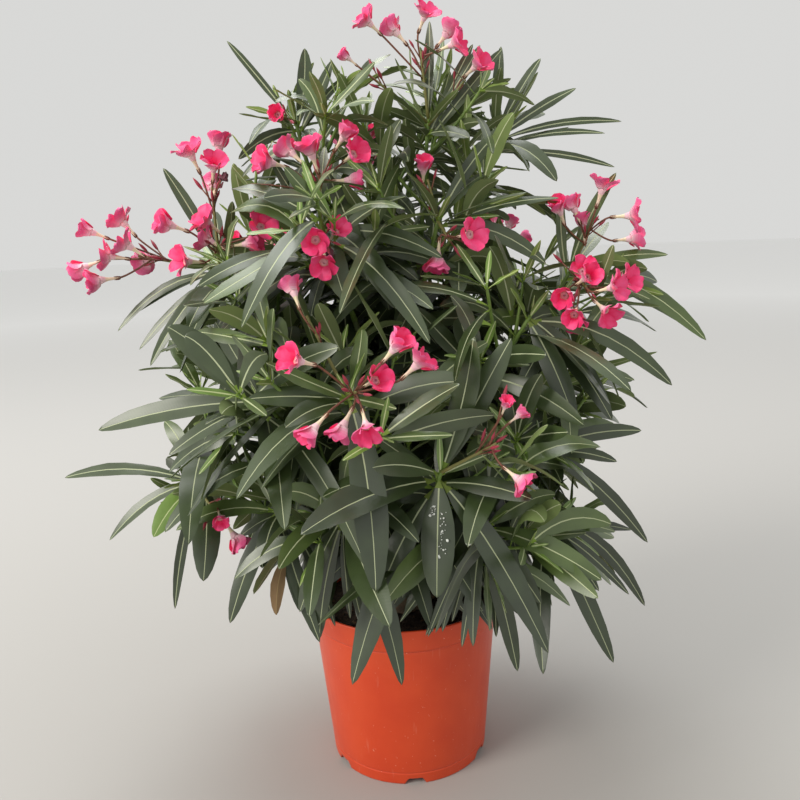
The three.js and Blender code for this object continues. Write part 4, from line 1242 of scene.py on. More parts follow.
# %% [markdown]
# Every growing tip of an oleander ends in a tuft of small upright leaves, yellow-green because they
# are new. They are the bright centres of the dark whorls. They could be one modelled bud, copied,
# but as leaves of the same rule each tuft is its own.

# %% Tufts of young leaves at the tips of the shoots
TUFT_LEAVES = 5
UPRIGHT, OPENING = 74, 11  # degrees up from square to the shoot, less for each next leaf
SMALLEST, GROWTH = 22, 9  # mm of length, more for each next leaf


def tuft_leaves():
    """Leaf k of a tuft stands k golden turns round the tip, upright less k times the opening, and
    is as long as the smallest plus k times the growth."""
    shoot = np.repeat(np.flatnonzero(SHOOT_ENDS > 0), TUFT_LEAVES)
    leaf = np.tile(np.arange(TUFT_LEAVES), len(shoot) // TUFT_LEAVES)
    own = choose(SHOOTS, shoot)
    owner, number = own["owner"], own["number"]
    share = SHOOT_ENDS[shoot] - (1 + 1.2 * leaf) / own["length"]
    foot = shoot_point(own, share)
    axis = shoot_direction(own, share)
    phase = GOLDEN_TURN * leaf + 2 * np.pi * chance(owner, number, 57)
    radial = turned(unit(np.cross(axis, UP)), axis, phase)
    angle = np.radians(UPRIGHT - OPENING * leaf + spread(6, owner, number, leaf, 58))
    direction = raised(radial, axis, angle)
    length = (SMALLEST + GROWTH * leaf) * (1 + spread(0.15, owner, number, leaf, 59))
    tip = foot + direction * length[:, None] + (radial - UP * 0.3) * (0.12 * length)[:, None]
    return dict(foot=foot, control=foot + direction * length[:, None] / 2, tip=tip,
                across=unit(np.cross(axis, radial)), length=length, width=0.17 * length,
                roll=spread(0.3, owner, number, leaf, 60), twist=spread(0.5, owner, number, leaf, 63),
                owner=owner, shoot=shoot, level=-1 + 0 * leaf, number=leaf, share=share)


tufts = place_leaves([tuft_leaves()], ALLOWED["tuft"], True)
print("young leaves in tufts:", len(tufts["length"]))
LEAVES = joined([LEAVES, tufts])

# %% A tone for every leaf
OLD_CHANCE, YOUNG_CHANCE, YOUNGEST_CHANCE = 0.5, 0.25, 0.55  # for whorls 2, 1 and 0 from the tip


def leaf_tone(leaves):
    """A tone for each leaf, dealt by shoot and age: 0 old, 1 grown, 2 young, 3 fresh."""
    luck = chance(leaves["shoot"], 61)
    own = chance(leaves["shoot"], leaves["number"], leaves["level"], 62)
    tone = np.where(leaves["level"] >= 3, 0, 1)
    tone = np.where((leaves["level"] == 2) & (own < OLD_CHANCE), 0, tone)
    tone = np.where((leaves["level"] == 1) & (luck < YOUNG_CHANCE), 2, tone)
    tone = np.where((leaves["level"] == 0) & (luck < YOUNGEST_CHANCE), 2, tone)
    return np.where(leaves["level"] < 0, np.where(leaves["number"] < 4, 3, 2), tone)


LEAVES["tone"] = leaf_tone(LEAVES)
print("leaves by tone:", np.bincount(LEAVES["tone"]))

# %% [markdown]
# The shoots themselves come after the leaves, so that each can stop where its youngest leaf stands.
# They are tubes with a slight swelling at each joint.

# %% The leafy shoots
TWIG_ROWS = 9
TWIG_FOOT, TWIG_TIP = [3.3, 2.4, 1.9], [2.0, 1.5, 1.2]  # mm: leader, side shoot, finer shoot


def twig_pieces():
    """Leaders are a little thicker than side shoots, and finer shoots are the thinnest."""
    kept = choose(SHOOTS, SHOOT_ENDS > 0)
    lines = shoot_lines(kept, TWIG_ROWS, SHOOT_ENDS[SHOOT_ENDS > 0])
    foot, tip = (np.choose(kept["kind"], radii)[:, None] for radii in (TWIG_FOOT, TWIG_TIP))
    joints = 0.10 * np.cos(np.arange(TWIG_ROWS)[:, None] * 2.6)
    piece = tube_piece("twigs", lines, even_taper(lines, foot, tip), 8, [SHOOT_SKIN], joints)


twig_pieces()

# %% [markdown]
# The blade is a ring of ten points carried along the midrib: six across the face, with the pale
# midrib as a narrow strip of its own, and four back along the underside. The face is a shallow
# valley, its edges curl under a little, and the whole edge waves gently. The leaf is closed and
# about half a millimetre thick, like the real one.

# %% Leaf blades
LEAF_THICKNESS = 0.6  # mm
LEAF_SHARES = np.array([0, 0.04, 0.1, 0.19, 0.3, 0.42, 0.55, 0.68, 0.8, 0.91, 0.975, 1.0])
TOP_POINTS, LEAF_RING = 6, 10
LEAF_STRIPS = [0, 0, 1, 0, 0, 2, 2, 1, 2, 2]  # 0 the face, 1 the midrib, 2 the underside
LEAF_FOOT = 3  # the material of the stalk
FOLD, CURL, WAVE_MM, WAVES = 0.22, 0.16, 1.0, 2.3


def leaf_points(leaves):
    """Height over the side line = half width * (fold * |across| - curl * across squared), plus a
    wave at the edge. The underside lies a thickness below it, and lower under the midrib."""
    share = LEAF_SHARES
    line = leaf_line(leaves, share)
    _, side, face = leaf_frame(leaves, share)
    half = leaf_half_width(leaves, share)
    strip = np.minimum(0.4 * half, (0.9 - 0.6 * share)) / half
    one = np.ones_like(half)
    top = np.stack([one, 0.56 * one, strip, -strip, -0.56 * one, -one], -1)
    under = np.stack([-0.56 * one, -strip, strip, 0.56 * one], -1)
    across = np.concatenate([top, under], -1)
    key = leaves["shoot"] + 7 * leaves["level"]
    fold = FOLD + spread(0.12, key, leaves["number"], 71)[:, None, None]
    curl = CURL + spread(0.08, key, leaves["number"], 72)[:, None, None]
    phase = 2 * np.pi * chance(key, leaves["number"], 73)[:, None, None]
    height = half[..., None] * (fold * np.abs(across) - curl * across**2)
    wave = WAVE_MM * np.sin(2 * np.pi * WAVES * share[:, None] + phase + 1.5 * np.sign(across))
    height += wave * across**2 * np.sin(np.pi * share)[:, None]
    drop = np.zeros(LEAF_RING)
    drop[TOP_POINTS:] = LEAF_THICKNESS
    drop[TOP_POINTS + 1 : -1] = LEAF_THICKNESS * 2.2
    slim = np.minimum(1, half / 3)[..., None]
    height = height - drop * slim
    points = (line[:, :, None, :] + side[:, :, None, :] * (half[..., None] * across)[..., None]
              + face[:, :, None, :] * height[..., None])
    uv = np.stack([(leaves["length"][:, None] * share)[..., None] + 0 * across,
                   half[..., None] * across], -1)
    return points, uv


def leaf_piece(name, leaves, tone, colours):
    """Many leaves of one tone as one piece, with its materials dealt out by strip."""
    points, uv = leaf_points(leaves)
    count, rows = points.shape[:2]
    kind = np.tile(LEAF_STRIPS, (rows - 1, 1))
    kind[:2] = LEAF_FOOT
    strips = np.concatenate([np.tile(kind.ravel(), count), np.full(2 * count, 2)])
    edge = np.tile(np.isin(np.arange(LEAF_RING), (0, TOP_POINTS - 1)), count * rows)
    piece = swept_piece(name, points, leaf_materials(tone, colours), strips, uv, edge, True)
    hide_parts(*[f"foliage-{mass_name}" for mass_name in MASSES])


for number, (tone, colours) in enumerate(LEAF_TONES.items()):
    leaf_piece(f"leaves_{tone}", choose(LEAVES, LEAVES["tone"] == number), tone, colours)

# %% [markdown]
# Two small marks of age show in the photograph. One leaf carries white flecks where drops of hard
# water dried. They could be painted, but a painted place doesn't export well, so they are flakes.

# %% Chalk flecks and a dry leaf
FLECKED_TIP = np.array([33, -222, 299])  # the broad leaf that hangs in front of the middle
FLECKS, PATCH_FLECKS = 46, 18


def chalk_flecks():
    """Thin round flakes that lie on the leaf's face, in a patch near its foot and a streak beside
    its midrib. Their height over the side line is the leaf's own formula, and a little more."""
    own = choose(LEAVES, [np.argmin(np.linalg.norm(LEAVES["tip"] - FLECKED_TIP, axis=1))])
    number = np.arange(FLECKS)
    patch = number < PATCH_FLECKS
    share = np.where(patch, 0.27 + 0.09 * chance(number, 111), 0.3 + 0.4 * chance(number, 112))
    side_share = np.where(patch, -0.15 - 0.4 * chance(number, 113), 0.12 + 0.5 * chance(number, 114))
    order = np.argsort(share)
    share, side_share = share[order], side_share[order]
    tangent, side, face = (part[0] for part in leaf_frame(own, share))
    half = leaf_half_width(own, share)[0]
    height = half * (0.25 * np.abs(side_share) - 0.16 * side_share**2) + 0.2
    place = leaf_line(own, share)[0] + side * (half * side_share)[:, None] + face * height[:, None]
    lines = place[:, None, :] + face[:, None, :] * np.array([-0.3, 0.45])[:, None]
    radii = (0.4 + 1.1 * chance(number, 115) ** 2)[:, None] * np.array([1.0, 0.8])
    relief = spread(0.3, number[:, None, None], np.arange(7))
    lime = leaf_plain("dried lime", "#dfe3dc", 0.8)
    piece = tube_piece("chalk_flecks", lines, radii, 7, [lime], relief)


dry_leaf = dict(  # one old leaf that hangs low on the left, brown and curled
    foot=[-112, -138, 330], control=[-132, -168, 322], tip=[-134, -170, 262], across=[0.6, -0.8, 0.1],
    length=78, width=17, roll=0.5, twist=1.6, owner=0, shoot=3, level=0, number=2, share=0.5)
dry_leaf = {key: np.array([value], float) for key, value in dry_leaf.items()}
leaf_piece("leaf_dry", dry_leaf, "dry", DRY_TONE)
chalk_flecks()

# %% [markdown]
# Petals are soft and slightly velvety: bright rose-red on the face and paler behind. The eye of
# the flower is pale, the tube fades to cream at its foot, and the little stalks are red-brown.

# %% Flower materials
def petal_material(name, colour, light, roughness=0.55):
    """Velvety skin: two close reds in patches, a faint sheen, and a slight crinkle as relief."""
    material, surface = new_material(name, colour, roughness, Sheen_Weight=0.15, Sheen_Roughness=0.4)
    tone, share = mottle(material, colour, light, 9)
    link(material, tone, surface.inputs["Base Color"])
    add_relief(material, surface, share, 0.12)
    return material


PETAL_FACE = petal_material("rose petal face", "#f92a72", "#fc5490")
PETAL_BACK = petal_material("rose petal back", "#f65594", "#f874a8")
PETAL_FLUSH = petal_material("petal back, flushed", "#f46c9e", "#f684ae")
PETAL_MIDDLE = petal_material("petal back, nearer the tube", "#f286aa", "#f59ab8")
PETAL_PALE = petal_material("petal back, pale", "#f4a4be", "#f7b7cb")
PETAL_FOOT = petal_material("pale foot of a petal", "#f6bfcd", "#f8d4d8")
THROAT = petal_material("flower throat", "#f29a92", "#f6b7a4")
TUBE = petal_material("flower tube", "#f1e2bb", "#f4d9c4")
BUD_SKIN = petal_material("closed bud", "#93293c", "#b23f52", 0.5)
STALK_SKIN = bark_material("red-brown flower stalk", "#6e4234", "#85563f", 0.6, 2.5, 0.2)
HEAD_SKIN = bark_material("green-brown flower head stalk", "#75743f", "#86804c", 0.55, 2.5, 0.2)
WITHERED = petal_material("withered petal", "#5c2c3a", "#74404a", 0.75)

# %% [markdown]
# The cup opens into five lobes that overlap like a propeller's blades, because each swings to one
# side. A photograph on a flat card would be lighter, but a flower shows from all round. Each lobe
# is a thin closed ring carried outwards, like a leaf, with its own ruffle by chance.

# %% Lobes of the flowers
LOBES = 5
LOBE_LENGTH = 16.5  # mm
LOBE_BEND = 0.55  # radians outwards over the lobe's length
LOBE_SWING = 0.42  # radians sideways over the lobe's length
LOBE_HALF, LOBE_THICKNESS = 6.8, 0.5  # mm
MOUTH_RADIUS, MOUTH_DEPTH = 4.4, 4  # mm
LOBE_RING = np.array([1, 0.4, -0.4, -1, -0.4, 0.4])
LEAST_OPEN, OPEN_SPREAD = 4, 38  # degrees
LOBE_SHARES = np.array([0, 0.12, 0.25, 0.4, 0.58, 0.76, 0.9, 1.0])


def lobe_points(flowers, size, opening, ruffle):
    """A lobe leaves the cup's rim at the opening angle from the flower's axis and bends outwards.
    Its reach and height are the sums of the sine and the cosine of that growing angle. Its middle
    line swings sideways by the square of its length, which makes the propeller."""
    s = LOBE_SHARES
    opening = opening[:, None, None]
    reach = (np.cos(opening) - np.cos(opening + LOBE_BEND * s)) / LOBE_BEND
    rise = (np.sin(opening + LOBE_BEND * s) - np.sin(opening)) / LOBE_BEND
    size = size[:, None, None]
    radius = (MOUTH_RADIUS + LOBE_LENGTH * reach) * size
    height = (-MOUTH_DEPTH + LOBE_LENGTH * rise) * size
    lobe = np.arange(LOBES)[:, None]
    number = flowers["number"][:, None, None]
    turn = 2 * np.pi * (lobe / LOBES + chance(number, 0 * lobe, 81)) + LOBE_SWING * s**2
    first, second, facing = (flowers[key][:, None, None, :] for key in ("first", "second", "facing"))
    radial = first * np.cos(turn)[..., None] + second * np.sin(turn)[..., None]
    across = np.cross(facing + 0 * radial, radial)
    angle = (opening + LOBE_BEND * s)[..., None]
    inner = -np.cos(angle) * radial + np.sin(angle) * facing
    line = flowers["centre"][:, None, None, :] + radial * radius[..., None] + facing * height[..., None]
    blade = np.sin(np.pi * (0.13 + 0.66 * s)) ** 0.75 * (1 - 0.45 * np.clip((s - 0.8) / 0.2, 0, 1) ** 2)
    half = (LOBE_HALF + 2.2 * chance(number, 86)) * blade * size
    ring = LOBE_RING
    drop = LOBE_THICKNESS * np.array([0, 0, 0, 0, 1, 1])
    wave = ruffle[:, None, None, None] * np.sin(
        5 * s[..., None] + 3.1 * ring + 2 * np.pi * chance(number, lobe, 82)[..., None])
    crease = 0.24 * np.cos(2.6 * np.pi * ring) * np.clip((s[..., None] - 0.3) / 0.7, 0, 1)
    lift = half[..., None] * (0.28 * ring + 0.22 * ring**2 + crease) + wave * s[..., None] - drop
    return (line[..., None, :] + across[..., None, :] * (half[..., None] * ring)[..., None]
            + inner[..., None, :] * lift[..., None])


def flower_lobes(name, flowers, size, opening, ruffle, materials):
    """All the lobes as one piece. The first material is the face's and the second the back's, and
    the others are the back's by rows, the last of them at the foot."""
    count, rows = len(size) * LOBES, len(LOBE_SHARES)
    points = lobe_points(flowers, size, opening, ruffle).reshape(count, rows, len(LOBE_RING), 3)
    kind = np.tile([0, 0, 0, 1, 1, 1], (rows - 1, 1))
    for row in range(len(materials) - 2):
        kind[row, 3:] = len(materials) - 1 - row
    strips = np.concatenate([np.tile(kind.ravel(), count), np.full(2 * count, 1)])
    edge = np.tile(np.abs(LOBE_RING) == 1, count * rows)
    piece = swept_piece(name, points, materials, strips, None, edge, True)


number, size = FLOWERS["number"], FLOWERS["size"]
opening = np.radians(LEAST_OPEN + OPEN_SPREAD * chance(number, 84) ** 1.5) * np.minimum(size, 1) ** 3
flower_lobes("petals", FLOWERS, size, opening, 0.8 + 1.1 * chance(number, 85),
             [PETAL_FACE, PETAL_BACK, PETAL_FLUSH, PETAL_MIDDLE, PETAL_PALE, PETAL_FOOT])

# %% [markdown]
# Behind the lobes is the flower's tube. It could be a plain cone, but one looks into its mouth, so
# it is turned from an outline that goes up outside and back down inside.

# %% Tubes of the flowers
TUBE_SIDES = 10


def flower_tubes():
    """Rings round each flower's axis, outside from the calyx to the cup's rim, then back down
    inside, so that the tube has a wall. Their places along the axis start at its mouth."""
    along = np.array([-24, -22, -17, -13, -9.5, -6, -3.4, -3.2, -6, -9, -12])[:, None, None]
    radius = np.array([1.1, 1.4, 1.5, 1.8, 2.6, 3.9, 4.9, 4.4, 3.5, 2.2, 1.2])[:, None, None]
    angle = ring_angles(TUBE_SIDES)[:, None]
    centre, first, second, facing, size = (
        FLOWERS[key].reshape(len(FLOWERS["size"]), 1, 1, -1)
        for key in ("centre", "first", "second", "facing", "size"))
    around = first * np.cos(angle) + second * np.sin(angle)
    points = centre + facing * along * size + around * radius * size
    rows_kind = np.array([0, 0, 0, 0, 1, 1, 1, 2, 2, 2])
    strips = np.tile(np.repeat(rows_kind, TUBE_SIDES), len(points))
    strips = np.concatenate([strips, np.full(2 * len(points), 0)])
    piece = swept_piece("flower_tubes", points, [TUBE, PETAL_FOOT, THROAT], strips)


flower_tubes()

# %% [markdown]
# A fringe of fine pale teeth stands in the mouth, round the cone of the stamens, and the calyx has
# five small points. They could be one model each, but they are so small that spikes will do.

# %% Fringe, calyx and stamens
def spikes(base, direction, length, thick, name, material):
    """Slender closed spikes: a ring at the foot, a wider one at a third, and a small one at the tip."""
    direction = unit(direction)
    share = np.array([0, 0.35, 1.0])
    lines = base[:, None, :] + direction[:, None, :] * (length[:, None] * share)[..., None]
    radii = thick[:, None] * np.array([0.7, 1.0, 0.12])
    piece = tube_piece(name, lines, radii, 3, [material])


def ring_of(per_flower, along, radius):
    """Points, outward directions, facings and sizes for a ring round each flower's axis."""
    angle = 2 * np.pi * np.arange(per_flower) / per_flower
    radial = (FLOWERS["first"][:, None, :] * np.cos(angle)[:, None]
              + FLOWERS["second"][:, None, :] * np.sin(angle)[:, None])
    offsets = FLOWERS["facing"][:, None, :] * along + radial * radius
    points = FLOWERS["centre"][:, None, :] + offsets * FLOWERS["size"][:, None, None]
    facing, size = (np.repeat(FLOWERS[key], per_flower, axis=0) for key in ("facing", "size"))
    return points.reshape(-1, 3), radial.reshape(-1, 3), facing, size


foot, radial, facing, size = ring_of(15, -4.5, 4.0)
inwards = 0.6 * facing - 0.8 * radial + 0.25 * np.cross(facing, radial)
spikes(foot, inwards, 4.2 * size, 0.85 * size, "throat_fringe", PETAL_FOOT)
foot, radial, facing, size = ring_of(5, -24.5, 1.2)
spikes(foot, facing + 0.12 * radial, 6.5 * size, 0.9 * size, "calyx_lobes", STALK_SKIN)
foot, radial, facing, size = ring_of(5, -9.0, 1.1)
spikes(foot, facing - 0.05 * radial, 6.5 * size, 1.2 * size, "stamen_cones", PETAL_PALE)

# %% [markdown]
# A flower head is a forked stalk. The main stalk rises from the shoot's tip, and each flower's own
# little stalk leaves it and curves up into the calyx. Straight stalks would do from a step away, but
# a curve meets the calyx square. Buds wait between the open flowers.

# %% Flower stalks
CALYX_DEPTH = 23.5  # mm from a flower's mouth down to its calyx


def stalk_piece(name, start, control, end, rows, foot_radius, tip_radius, sides, material):
    """Many curved stalks of one kind as one piece."""
    lines = quadratic_lines(start, control, end, np.linspace(0, 1, rows))
    piece = tube_piece(name, lines, even_taper(lines, foot_radius, tip_radius), sides, [material])


head_foot = np.array([head["foot"] for head in HEADS])
head_end = np.array([head["end"] for head in HEADS])
bend = (head_foot + head_end) / 2
stalk_piece("head_stalks", head_foot, bend, head_end, 7, 1.9, 1.3, 8, HEAD_SKIN)
calyx = FLOWERS["centre"] - FLOWERS["facing"] * (CALYX_DEPTH * FLOWERS["size"])[:, None]
bend = calyx - FLOWERS["facing"] * 8
stalk_piece("flower_stalks", FLOWERS["fork"], bend, calyx, 7, 1.0, 1.1, 6, STALK_SKIN)

# %% Buds between the flowers
BUDS_PER_HEAD = 5
BUD_MM, BUD_RADIUS, BUD_SIDES = 15, 1.8, 10
BUD_SWELL = np.array([0.45, 0.8, 0.95, 1.0, 0.85, 0.5, 0.1])
SINGLE_BUDS = np.array([[46, -60, 677], [184, -60, 615], [104, -210, 498], [-11, -10, 832]], float)


def bud_rows():
    """Buds stand round the outer half of each head's stalk, by the golden turn, leaning outwards."""
    head = np.repeat(np.arange(len(HEADS)), BUDS_PER_HEAD)
    number = np.tile(np.arange(BUDS_PER_HEAD), len(HEADS))
    many = np.array([len(h["centres"]) > 1 for h in HEADS])[head] | (number < 2)
    head, number = head[many], number[many]
    axis = unit(head_end - head_foot)[head]
    fork = head_foot[head] + (head_end - head_foot)[head] * (0.62 + 0.06 * number)[:, None]
    flat = unit(np.cross(axis, UP + 0.01))
    spoke = turned(flat, axis, GOLDEN_TURN * number + 2 * np.pi * chance(head, 91))
    direction = unit(axis * 0.9 + spoke * (0.55 + 0.3 * chance(head, number, 92))[:, None] + UP * 0.25)
    stalk = 9 + 9 * chance(head, number, 93)
    size = 0.5 + 0.6 * chance(head, number, 94)
    nearest = [np.argmin(np.linalg.norm(FLOWERS["fork"] - place, axis=1)) for place in SINGLE_BUDS]
    known_fork = FLOWERS["fork"][nearest]
    known_way = unit(SINGLE_BUDS - known_fork)
    foot = np.concatenate([fork + direction * stalk[:, None], SINGLE_BUDS - known_way * 7])
    size = np.concatenate([size, np.full(len(SINGLE_BUDS), 1.0)])
    return np.concatenate([fork, known_fork]), foot, np.concatenate([direction, known_way]), size


bud_fork, bud_foot, bud_direction, bud_size = bud_rows()
bend = (bud_fork + bud_foot) / 2
stalk_piece("bud_stalks", bud_fork, bend, bud_foot, 3, 0.8, 0.8, 5, STALK_SKIN)


def buds():
    """A twisted spindle: its radius swells a third of the way up and its rings turn as they rise."""
    share = np.linspace(0, 1, len(BUD_SWELL))
    length = BUD_MM * bud_size
    lines = bud_foot[:, None, :] + bud_direction[:, None, :] * (length[:, None] * share)[..., None]
    radii = BUD_RADIUS * bud_size[:, None] ** 0.7 * BUD_SWELL
    side = np.arange(BUD_SIDES)
    ridge = 0.12 * np.cos(5 * 2 * np.pi * side / BUD_SIDES + 2.5 * share[:, None])
    piece = tube_piece("buds", lines, radii, BUD_SIDES, [BUD_SKIN], ridge)


buds()

# %% [markdown]
# A few flowers are over. They have shrunk to a purple-brown twist that hangs from its stalk. The
# lobes of an open flower, made small, closed and very ruffled, give that twist.

# %% Withered flowers
OVER = np.array([[-141, -92, 702], [-66, -126, 618], [-168, -80, 716], [-60, -118, 634]], float)


def withered_flowers():
    """Half-sized flowers that hang closed from the nearest fork."""
    near = np.array([np.argmin(np.linalg.norm(FLOWERS["centre"] - place, axis=1)) for place in OVER])
    count = len(OVER)
    facing = unit(-UP + 0.5 * unit(OVER * [1, 1, 0]))
    first = unit(np.cross(facing, np.array([0.3, 1, 0.2])))
    rows = dict(centre=OVER, facing=facing, first=first, second=np.cross(facing, first),
                number=200 + np.arange(count))
    size, opening, ruffle = (np.full(count, value) for value in (0.5, -0.12, 2.2))
    flower_lobes("withered_petals", rows, size, opening, ruffle, [WITHERED, WITHERED])
    neck = OVER - facing * 3
    fork = FLOWERS["fork"][near]
    bend = (fork + neck) / 2 + UP * 6
    stalk_piece("withered_stalks", fork, bend, neck, 5, 0.8, 0.9, 5, STALK_SKIN)


withered_flowers()

# %% [markdown]
# The pot is moulded polypropylene in terracotta red, about 24 cm across its rim. It has a smooth
# satin wall, a rim band with a fine groove under it, another groove near the foot, and notches in
# the foot that let water out. A lathe profile gives all of that at once: each row of the profile is
# a ring, and the rows at the foot are lifted where a notch comes.

# %% The pot
POT_SIDES = 240
FOOT_RADIUS = 98  # mm
NOTCH_COUNT, NOTCH_FIRST, NOTCH_WIDTH, NOTCH_HEIGHT = 6, -87, 21, 8


def pot_material():
    """Moulded polypropylene: satin, nearly even, with faint flow marks, scuffs and pale specks."""
    material, surface = new_material(
        "moulded polypropylene, terracotta", "#d3451b", 0.42, Coat_Weight=0.05, Coat_Roughness=0.3)
    tone, _ = mottle(material, "#d0411a", "#d84a20", 45, 0.3, 0.7, 2)
    place = object_place(material)
    specks = noise(material, place, 3.5, 2)
    speck_share = remap(material, specks, From_Min=0.72, From_Max=0.755, To_Max=0.5)
    long_way = add_node(material, "ShaderNodeMapping", {0: place})
    long_way.inputs["Scale"].default_value = (1, 1, 0.12)
    scuffs = noise(material, long_way.outputs[0], 6, 5)
    scuff_share = remap(material, scuffs, From_Min=0.66, From_Max=0.8, To_Max=0.2)
    both = maths(material, "MAXIMUM", {0: speck_share, 1: scuff_share})
    worn = add_node(material, "ShaderNodeMix", {0: both, 6: tone}, {7: linear("#e8b59c")},
                    data_type="RGBA")
    link(material, worn.outputs[2], surface.inputs["Base Color"])
    link(material, remap(material, scuffs, To_Min=0.3, To_Max=0.52), surface.inputs["Roughness"])
    add_relief(material, surface, noise(material, place, 1.6, 2), 0.06)
    return material


def wall_radius(height):
    """The wall's outside radius rises evenly from the foot to the shoulder."""
    return FOOT_RADIUS + 16 * height / 181


def pot_profile():
    """Radius and height of each row, from under the base, up the outside, over the lip and down."""
    under = [(1.5, 8.6), (60, 8.6), (90, 8.4), (91.5, 6), (92, 1), (93, 0)]
    foot = [(96.8, 0), (97.7, 0.4), (98.1, 1.2), (98.3, 3), (98.6, 7.5), (98.7, 8.3), (99.1, 13.2)]
    groove = [(99.2, 14.2), (98.5, 14.8), (98.5, 15.2), (99.3, 15.8), (99.5, 17)]
    wall = [(wall_radius(z), z) for z in (45, 80, 120, 150, 172, 179)]
    band = [(113.9, 180.4), (113.3, 181.0), (113.3, 181.6), (115.6, 182.4), (116.3, 183.4),
            (116.9, 186), (118.6, 200), (119.2, 205.5), (119.6, 207), (120, 208.3),
            (119.9, 209.4), (119.2, 210)]
    inside = [(117.6, 210), (116.8, 209.3), (116.5, 208), (114.6, 190), (112.5, 181), (110.9, 178),
              (95.5, 12.5), (94, 11.6), (60, 11.4), (1.5, 11.4)]
    return np.array(under + foot + groove + wall + band + inside)


def pot_piece():
    """The profile carried round. A row at the foot is lifted to the notch's height where the way
    round from the nearest notch's middle, angle times radius, is under half the notch's width."""
    profile = pot_profile()
    angle = ring_angles(POT_SIDES)
    between = np.radians(360 / NOTCH_COUNT)
    off = (angle - np.radians(NOTCH_FIRST) + between / 2) % between - between / 2
    notch = np.clip((NOTCH_WIDTH / 2 + 0.9 - np.abs(off) * FOOT_RADIUS) / 1.8, 0, 1)
    radius, height = profile[:, :1], profile[:, 1:]
    at_foot = (height < NOTCH_HEIGHT) & (radius > 91)
    height = np.where(at_foot, np.maximum(height, NOTCH_HEIGHT * notch), height)
    piece = swept_piece("pot_shell", lathed(radius, angle, height)[None], [pot_material()])
    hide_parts("pot")


pot_piece()

# %% [markdown]
# Potting compost is dark, crumbly peat and fine bark, a finger's width below the rim. It could be a
# heap of particles, but the export drops those. So its surface is a disc with soft lumps, and loose
# crumbs and bark chips lie on it as small closed bodies.

# %% The compost
def compost_material(name, first, second):
    """Matt and crumbly: two browns in small patches, and deep relief."""
    material, surface = new_material(name, first, 0.95)
    tone, _ = mottle(material, first, second, 6, 0.4, 0.6, 5)
    link(material, tone, surface.inputs["Base Color"])
    add_relief(material, surface, noise(material, object_place(material), 3, 5), 2.5)
    return material


def compost_height(x, y):
    """A low crown with broad lumps: the sum of a few slow waves that cross each other."""
    crown = COMPOST_TOP - 3.0 * (np.hypot(x, y) / 112) ** 2
    lumps = np.sin(x * 0.11 + 1) * np.cos(y * 0.13) + 0.6 * np.sin(x * 0.27 - y * 0.21 + 2)
    return crown + 1.1 * lumps + 0.7 * np.sin(x * 0.61 + 0.3 * y) * np.sin(y * 0.57) - 1.2


def compost_piece():
    """Rings of a disc that follow the height formula, then down the side and in under the bottom."""
    angle = ring_angles(120)
    reach = np.array([110, 112, 112.4, 110, 104, 96, 86, 76, 66, 56, 46, 36, 26, 16, 7, 1.5])[:, None]
    x, y = reach * np.cos(angle), reach * np.sin(angle)
    height = compost_height(x, y)
    height[0] = COMPOST_TOP - 24
    height[1] -= 7
    soil = compost_material("potting compost", "#2b2019", "#45362a")
    piece = swept_piece("compost_top", np.stack([x, y, height], -1)[None], [soil])
    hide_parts("compost")


CRUMBS = 520


def compost_crumbs():
    """Crumbs are squat six-sided lumps, turned and sized by chance, half sunk in the surface."""
    number = np.arange(CRUMBS)
    reach = 110 * np.sqrt(0.08 + 0.92 * chance(number, 101))
    angle = 2 * np.pi * chance(number, 102)
    x, y = reach * np.cos(angle), reach * np.sin(angle)
    foot = np.stack([x, y, compost_height(x, y) - 1.0], 1)
    lean = np.stack([spread(1, number, 103), spread(1, number, 104), 0.35 + 0 * x], 1)
    length = 2.5 + 6.5 * chance(number, 105) ** 2
    share = np.array([-0.5, -0.25, 0.2, 0.5])
    lines = foot[:, None, :] + unit(lean)[:, None, :] * (length[:, None] * share)[..., None]
    radii = (0.9 + 1.6 * chance(number, 106))[:, None] * np.array([0.5, 1, 0.9, 0.4])
    row, side = np.arange(4)[:, None], np.arange(6)
    relief = spread(0.3, number[:, None, None], row, side)
    peat = compost_material("bark and peat crumbs", "#3a2c20", "#6a5139")
    piece = tube_piece("compost_crumbs", lines, radii, 6, [peat], relief)


compost_piece()
compost_crumbs()

# %% [markdown]
# The plant is shown on a plain pale floor under large soft lamps. The main light comes from the
# upper left and in front, as in the photograph, and a second one overhead edges the leaves.

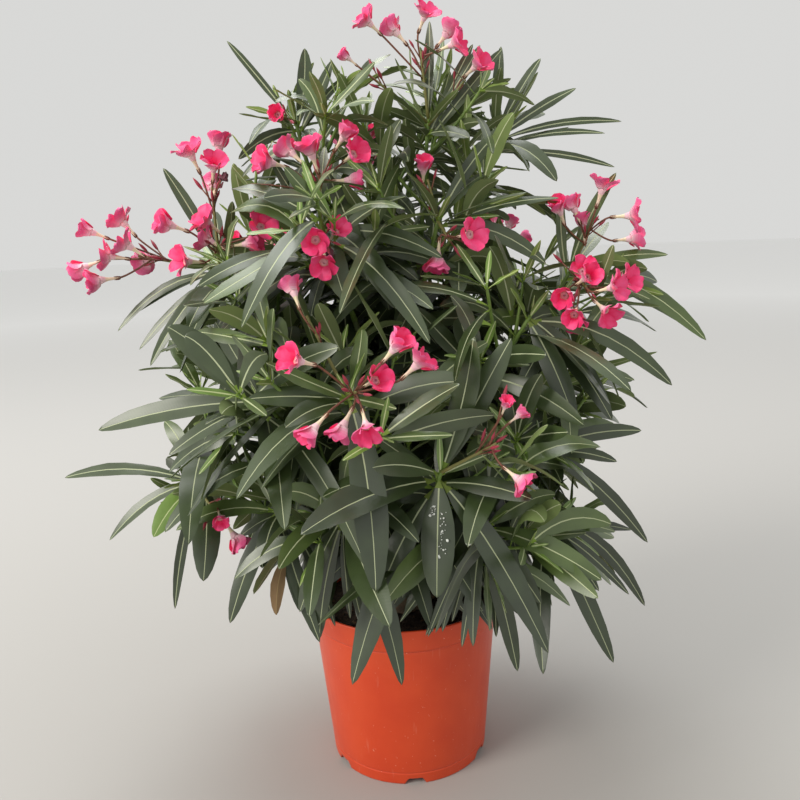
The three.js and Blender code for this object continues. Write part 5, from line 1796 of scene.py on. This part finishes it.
# %% Floor and light
FLOOR_RADIUS, FLOOR_SIDES = 30, 96  # metres


def add_floor():
    """One wide disc at the height of the pot's foot. Its colour is painted light: a grey of painted
    shade near the pot, where the key lamp lights it most, fading to a painted near white far off, so
    that floor and room meet without a line."""
    rim = lathed(FLOOR_RADIUS, ring_angles(FLOOR_SIDES), 0)
    mesh = bpy.data.meshes.new("studio_floor")
    mesh.from_pydata(rim.tolist(), [], [list(range(FLOOR_SIDES))])
    material, surface = new_material("matt floor with painted shade near the pot", "#aeaca8", 0.9)
    place = object_place(material)
    reach = add_node(material, "ShaderNodeVectorMath", {0: place}, operation="LENGTH")
    # painted shade and light: darker grey near the pot to tone down the key lamp's pool, near white far
    # off to match the room's light
    far = remap(material, reach.outputs["Value"], From_Min=0.3, From_Max=7.0)
    tone = add_node(material, "ShaderNodeMix", {0: far},
                    {6: linear("#aeaca8"), 7: linear("#f8f8f7")}, data_type="RGBA")
    link(material, tone.outputs[2], surface.inputs["Base Color"])
    mesh.materials.append(material)
    floor = bpy.data.objects.new("studio_floor", mesh)
    bpy.context.scene.collection.objects.link(floor)


def add_lamp(name, place, aim, size, power, colour):
    """A square area lamp at a place in metres, turned to face its aim."""
    data = bpy.data.lights.new(name, "AREA")
    data.shape = "SQUARE"
    data.size = size
    data.energy = power
    data.color = linear(colour)[:3]
    lamp = bpy.data.objects.new(name, data)
    back = unit(np.array(place, float) - np.array(aim, float))
    right = unit(np.cross(UP, back))
    lamp.matrix_world = placed(right, np.cross(back, right), back, place)
    bpy.context.scene.collection.objects.link(lamp)


def add_world(colour, strength):
    """An even light from all sides, as in a bright room."""
    world = bpy.data.worlds.new("soft_room_light")
    world.use_nodes = True
    sky = world.node_tree.nodes["Background"]
    sky.inputs["Color"].default_value = linear(colour)
    sky.inputs["Strength"].default_value = strength
    bpy.context.scene.world = world


add_floor()
add_lamp("key_lamp", (-3.6, -2.6, 3.1), (0, 0, 0.45), 2.2, 178, "#fffaf2")
add_lamp("top_lamp", (-0.3, 0.9, 3.4), (0, 0, 0.5), 2.0, 62, "#ffffff")
add_world("#efefed", 0.8)
bpy.context.scene.view_settings.view_transform = "Standard"
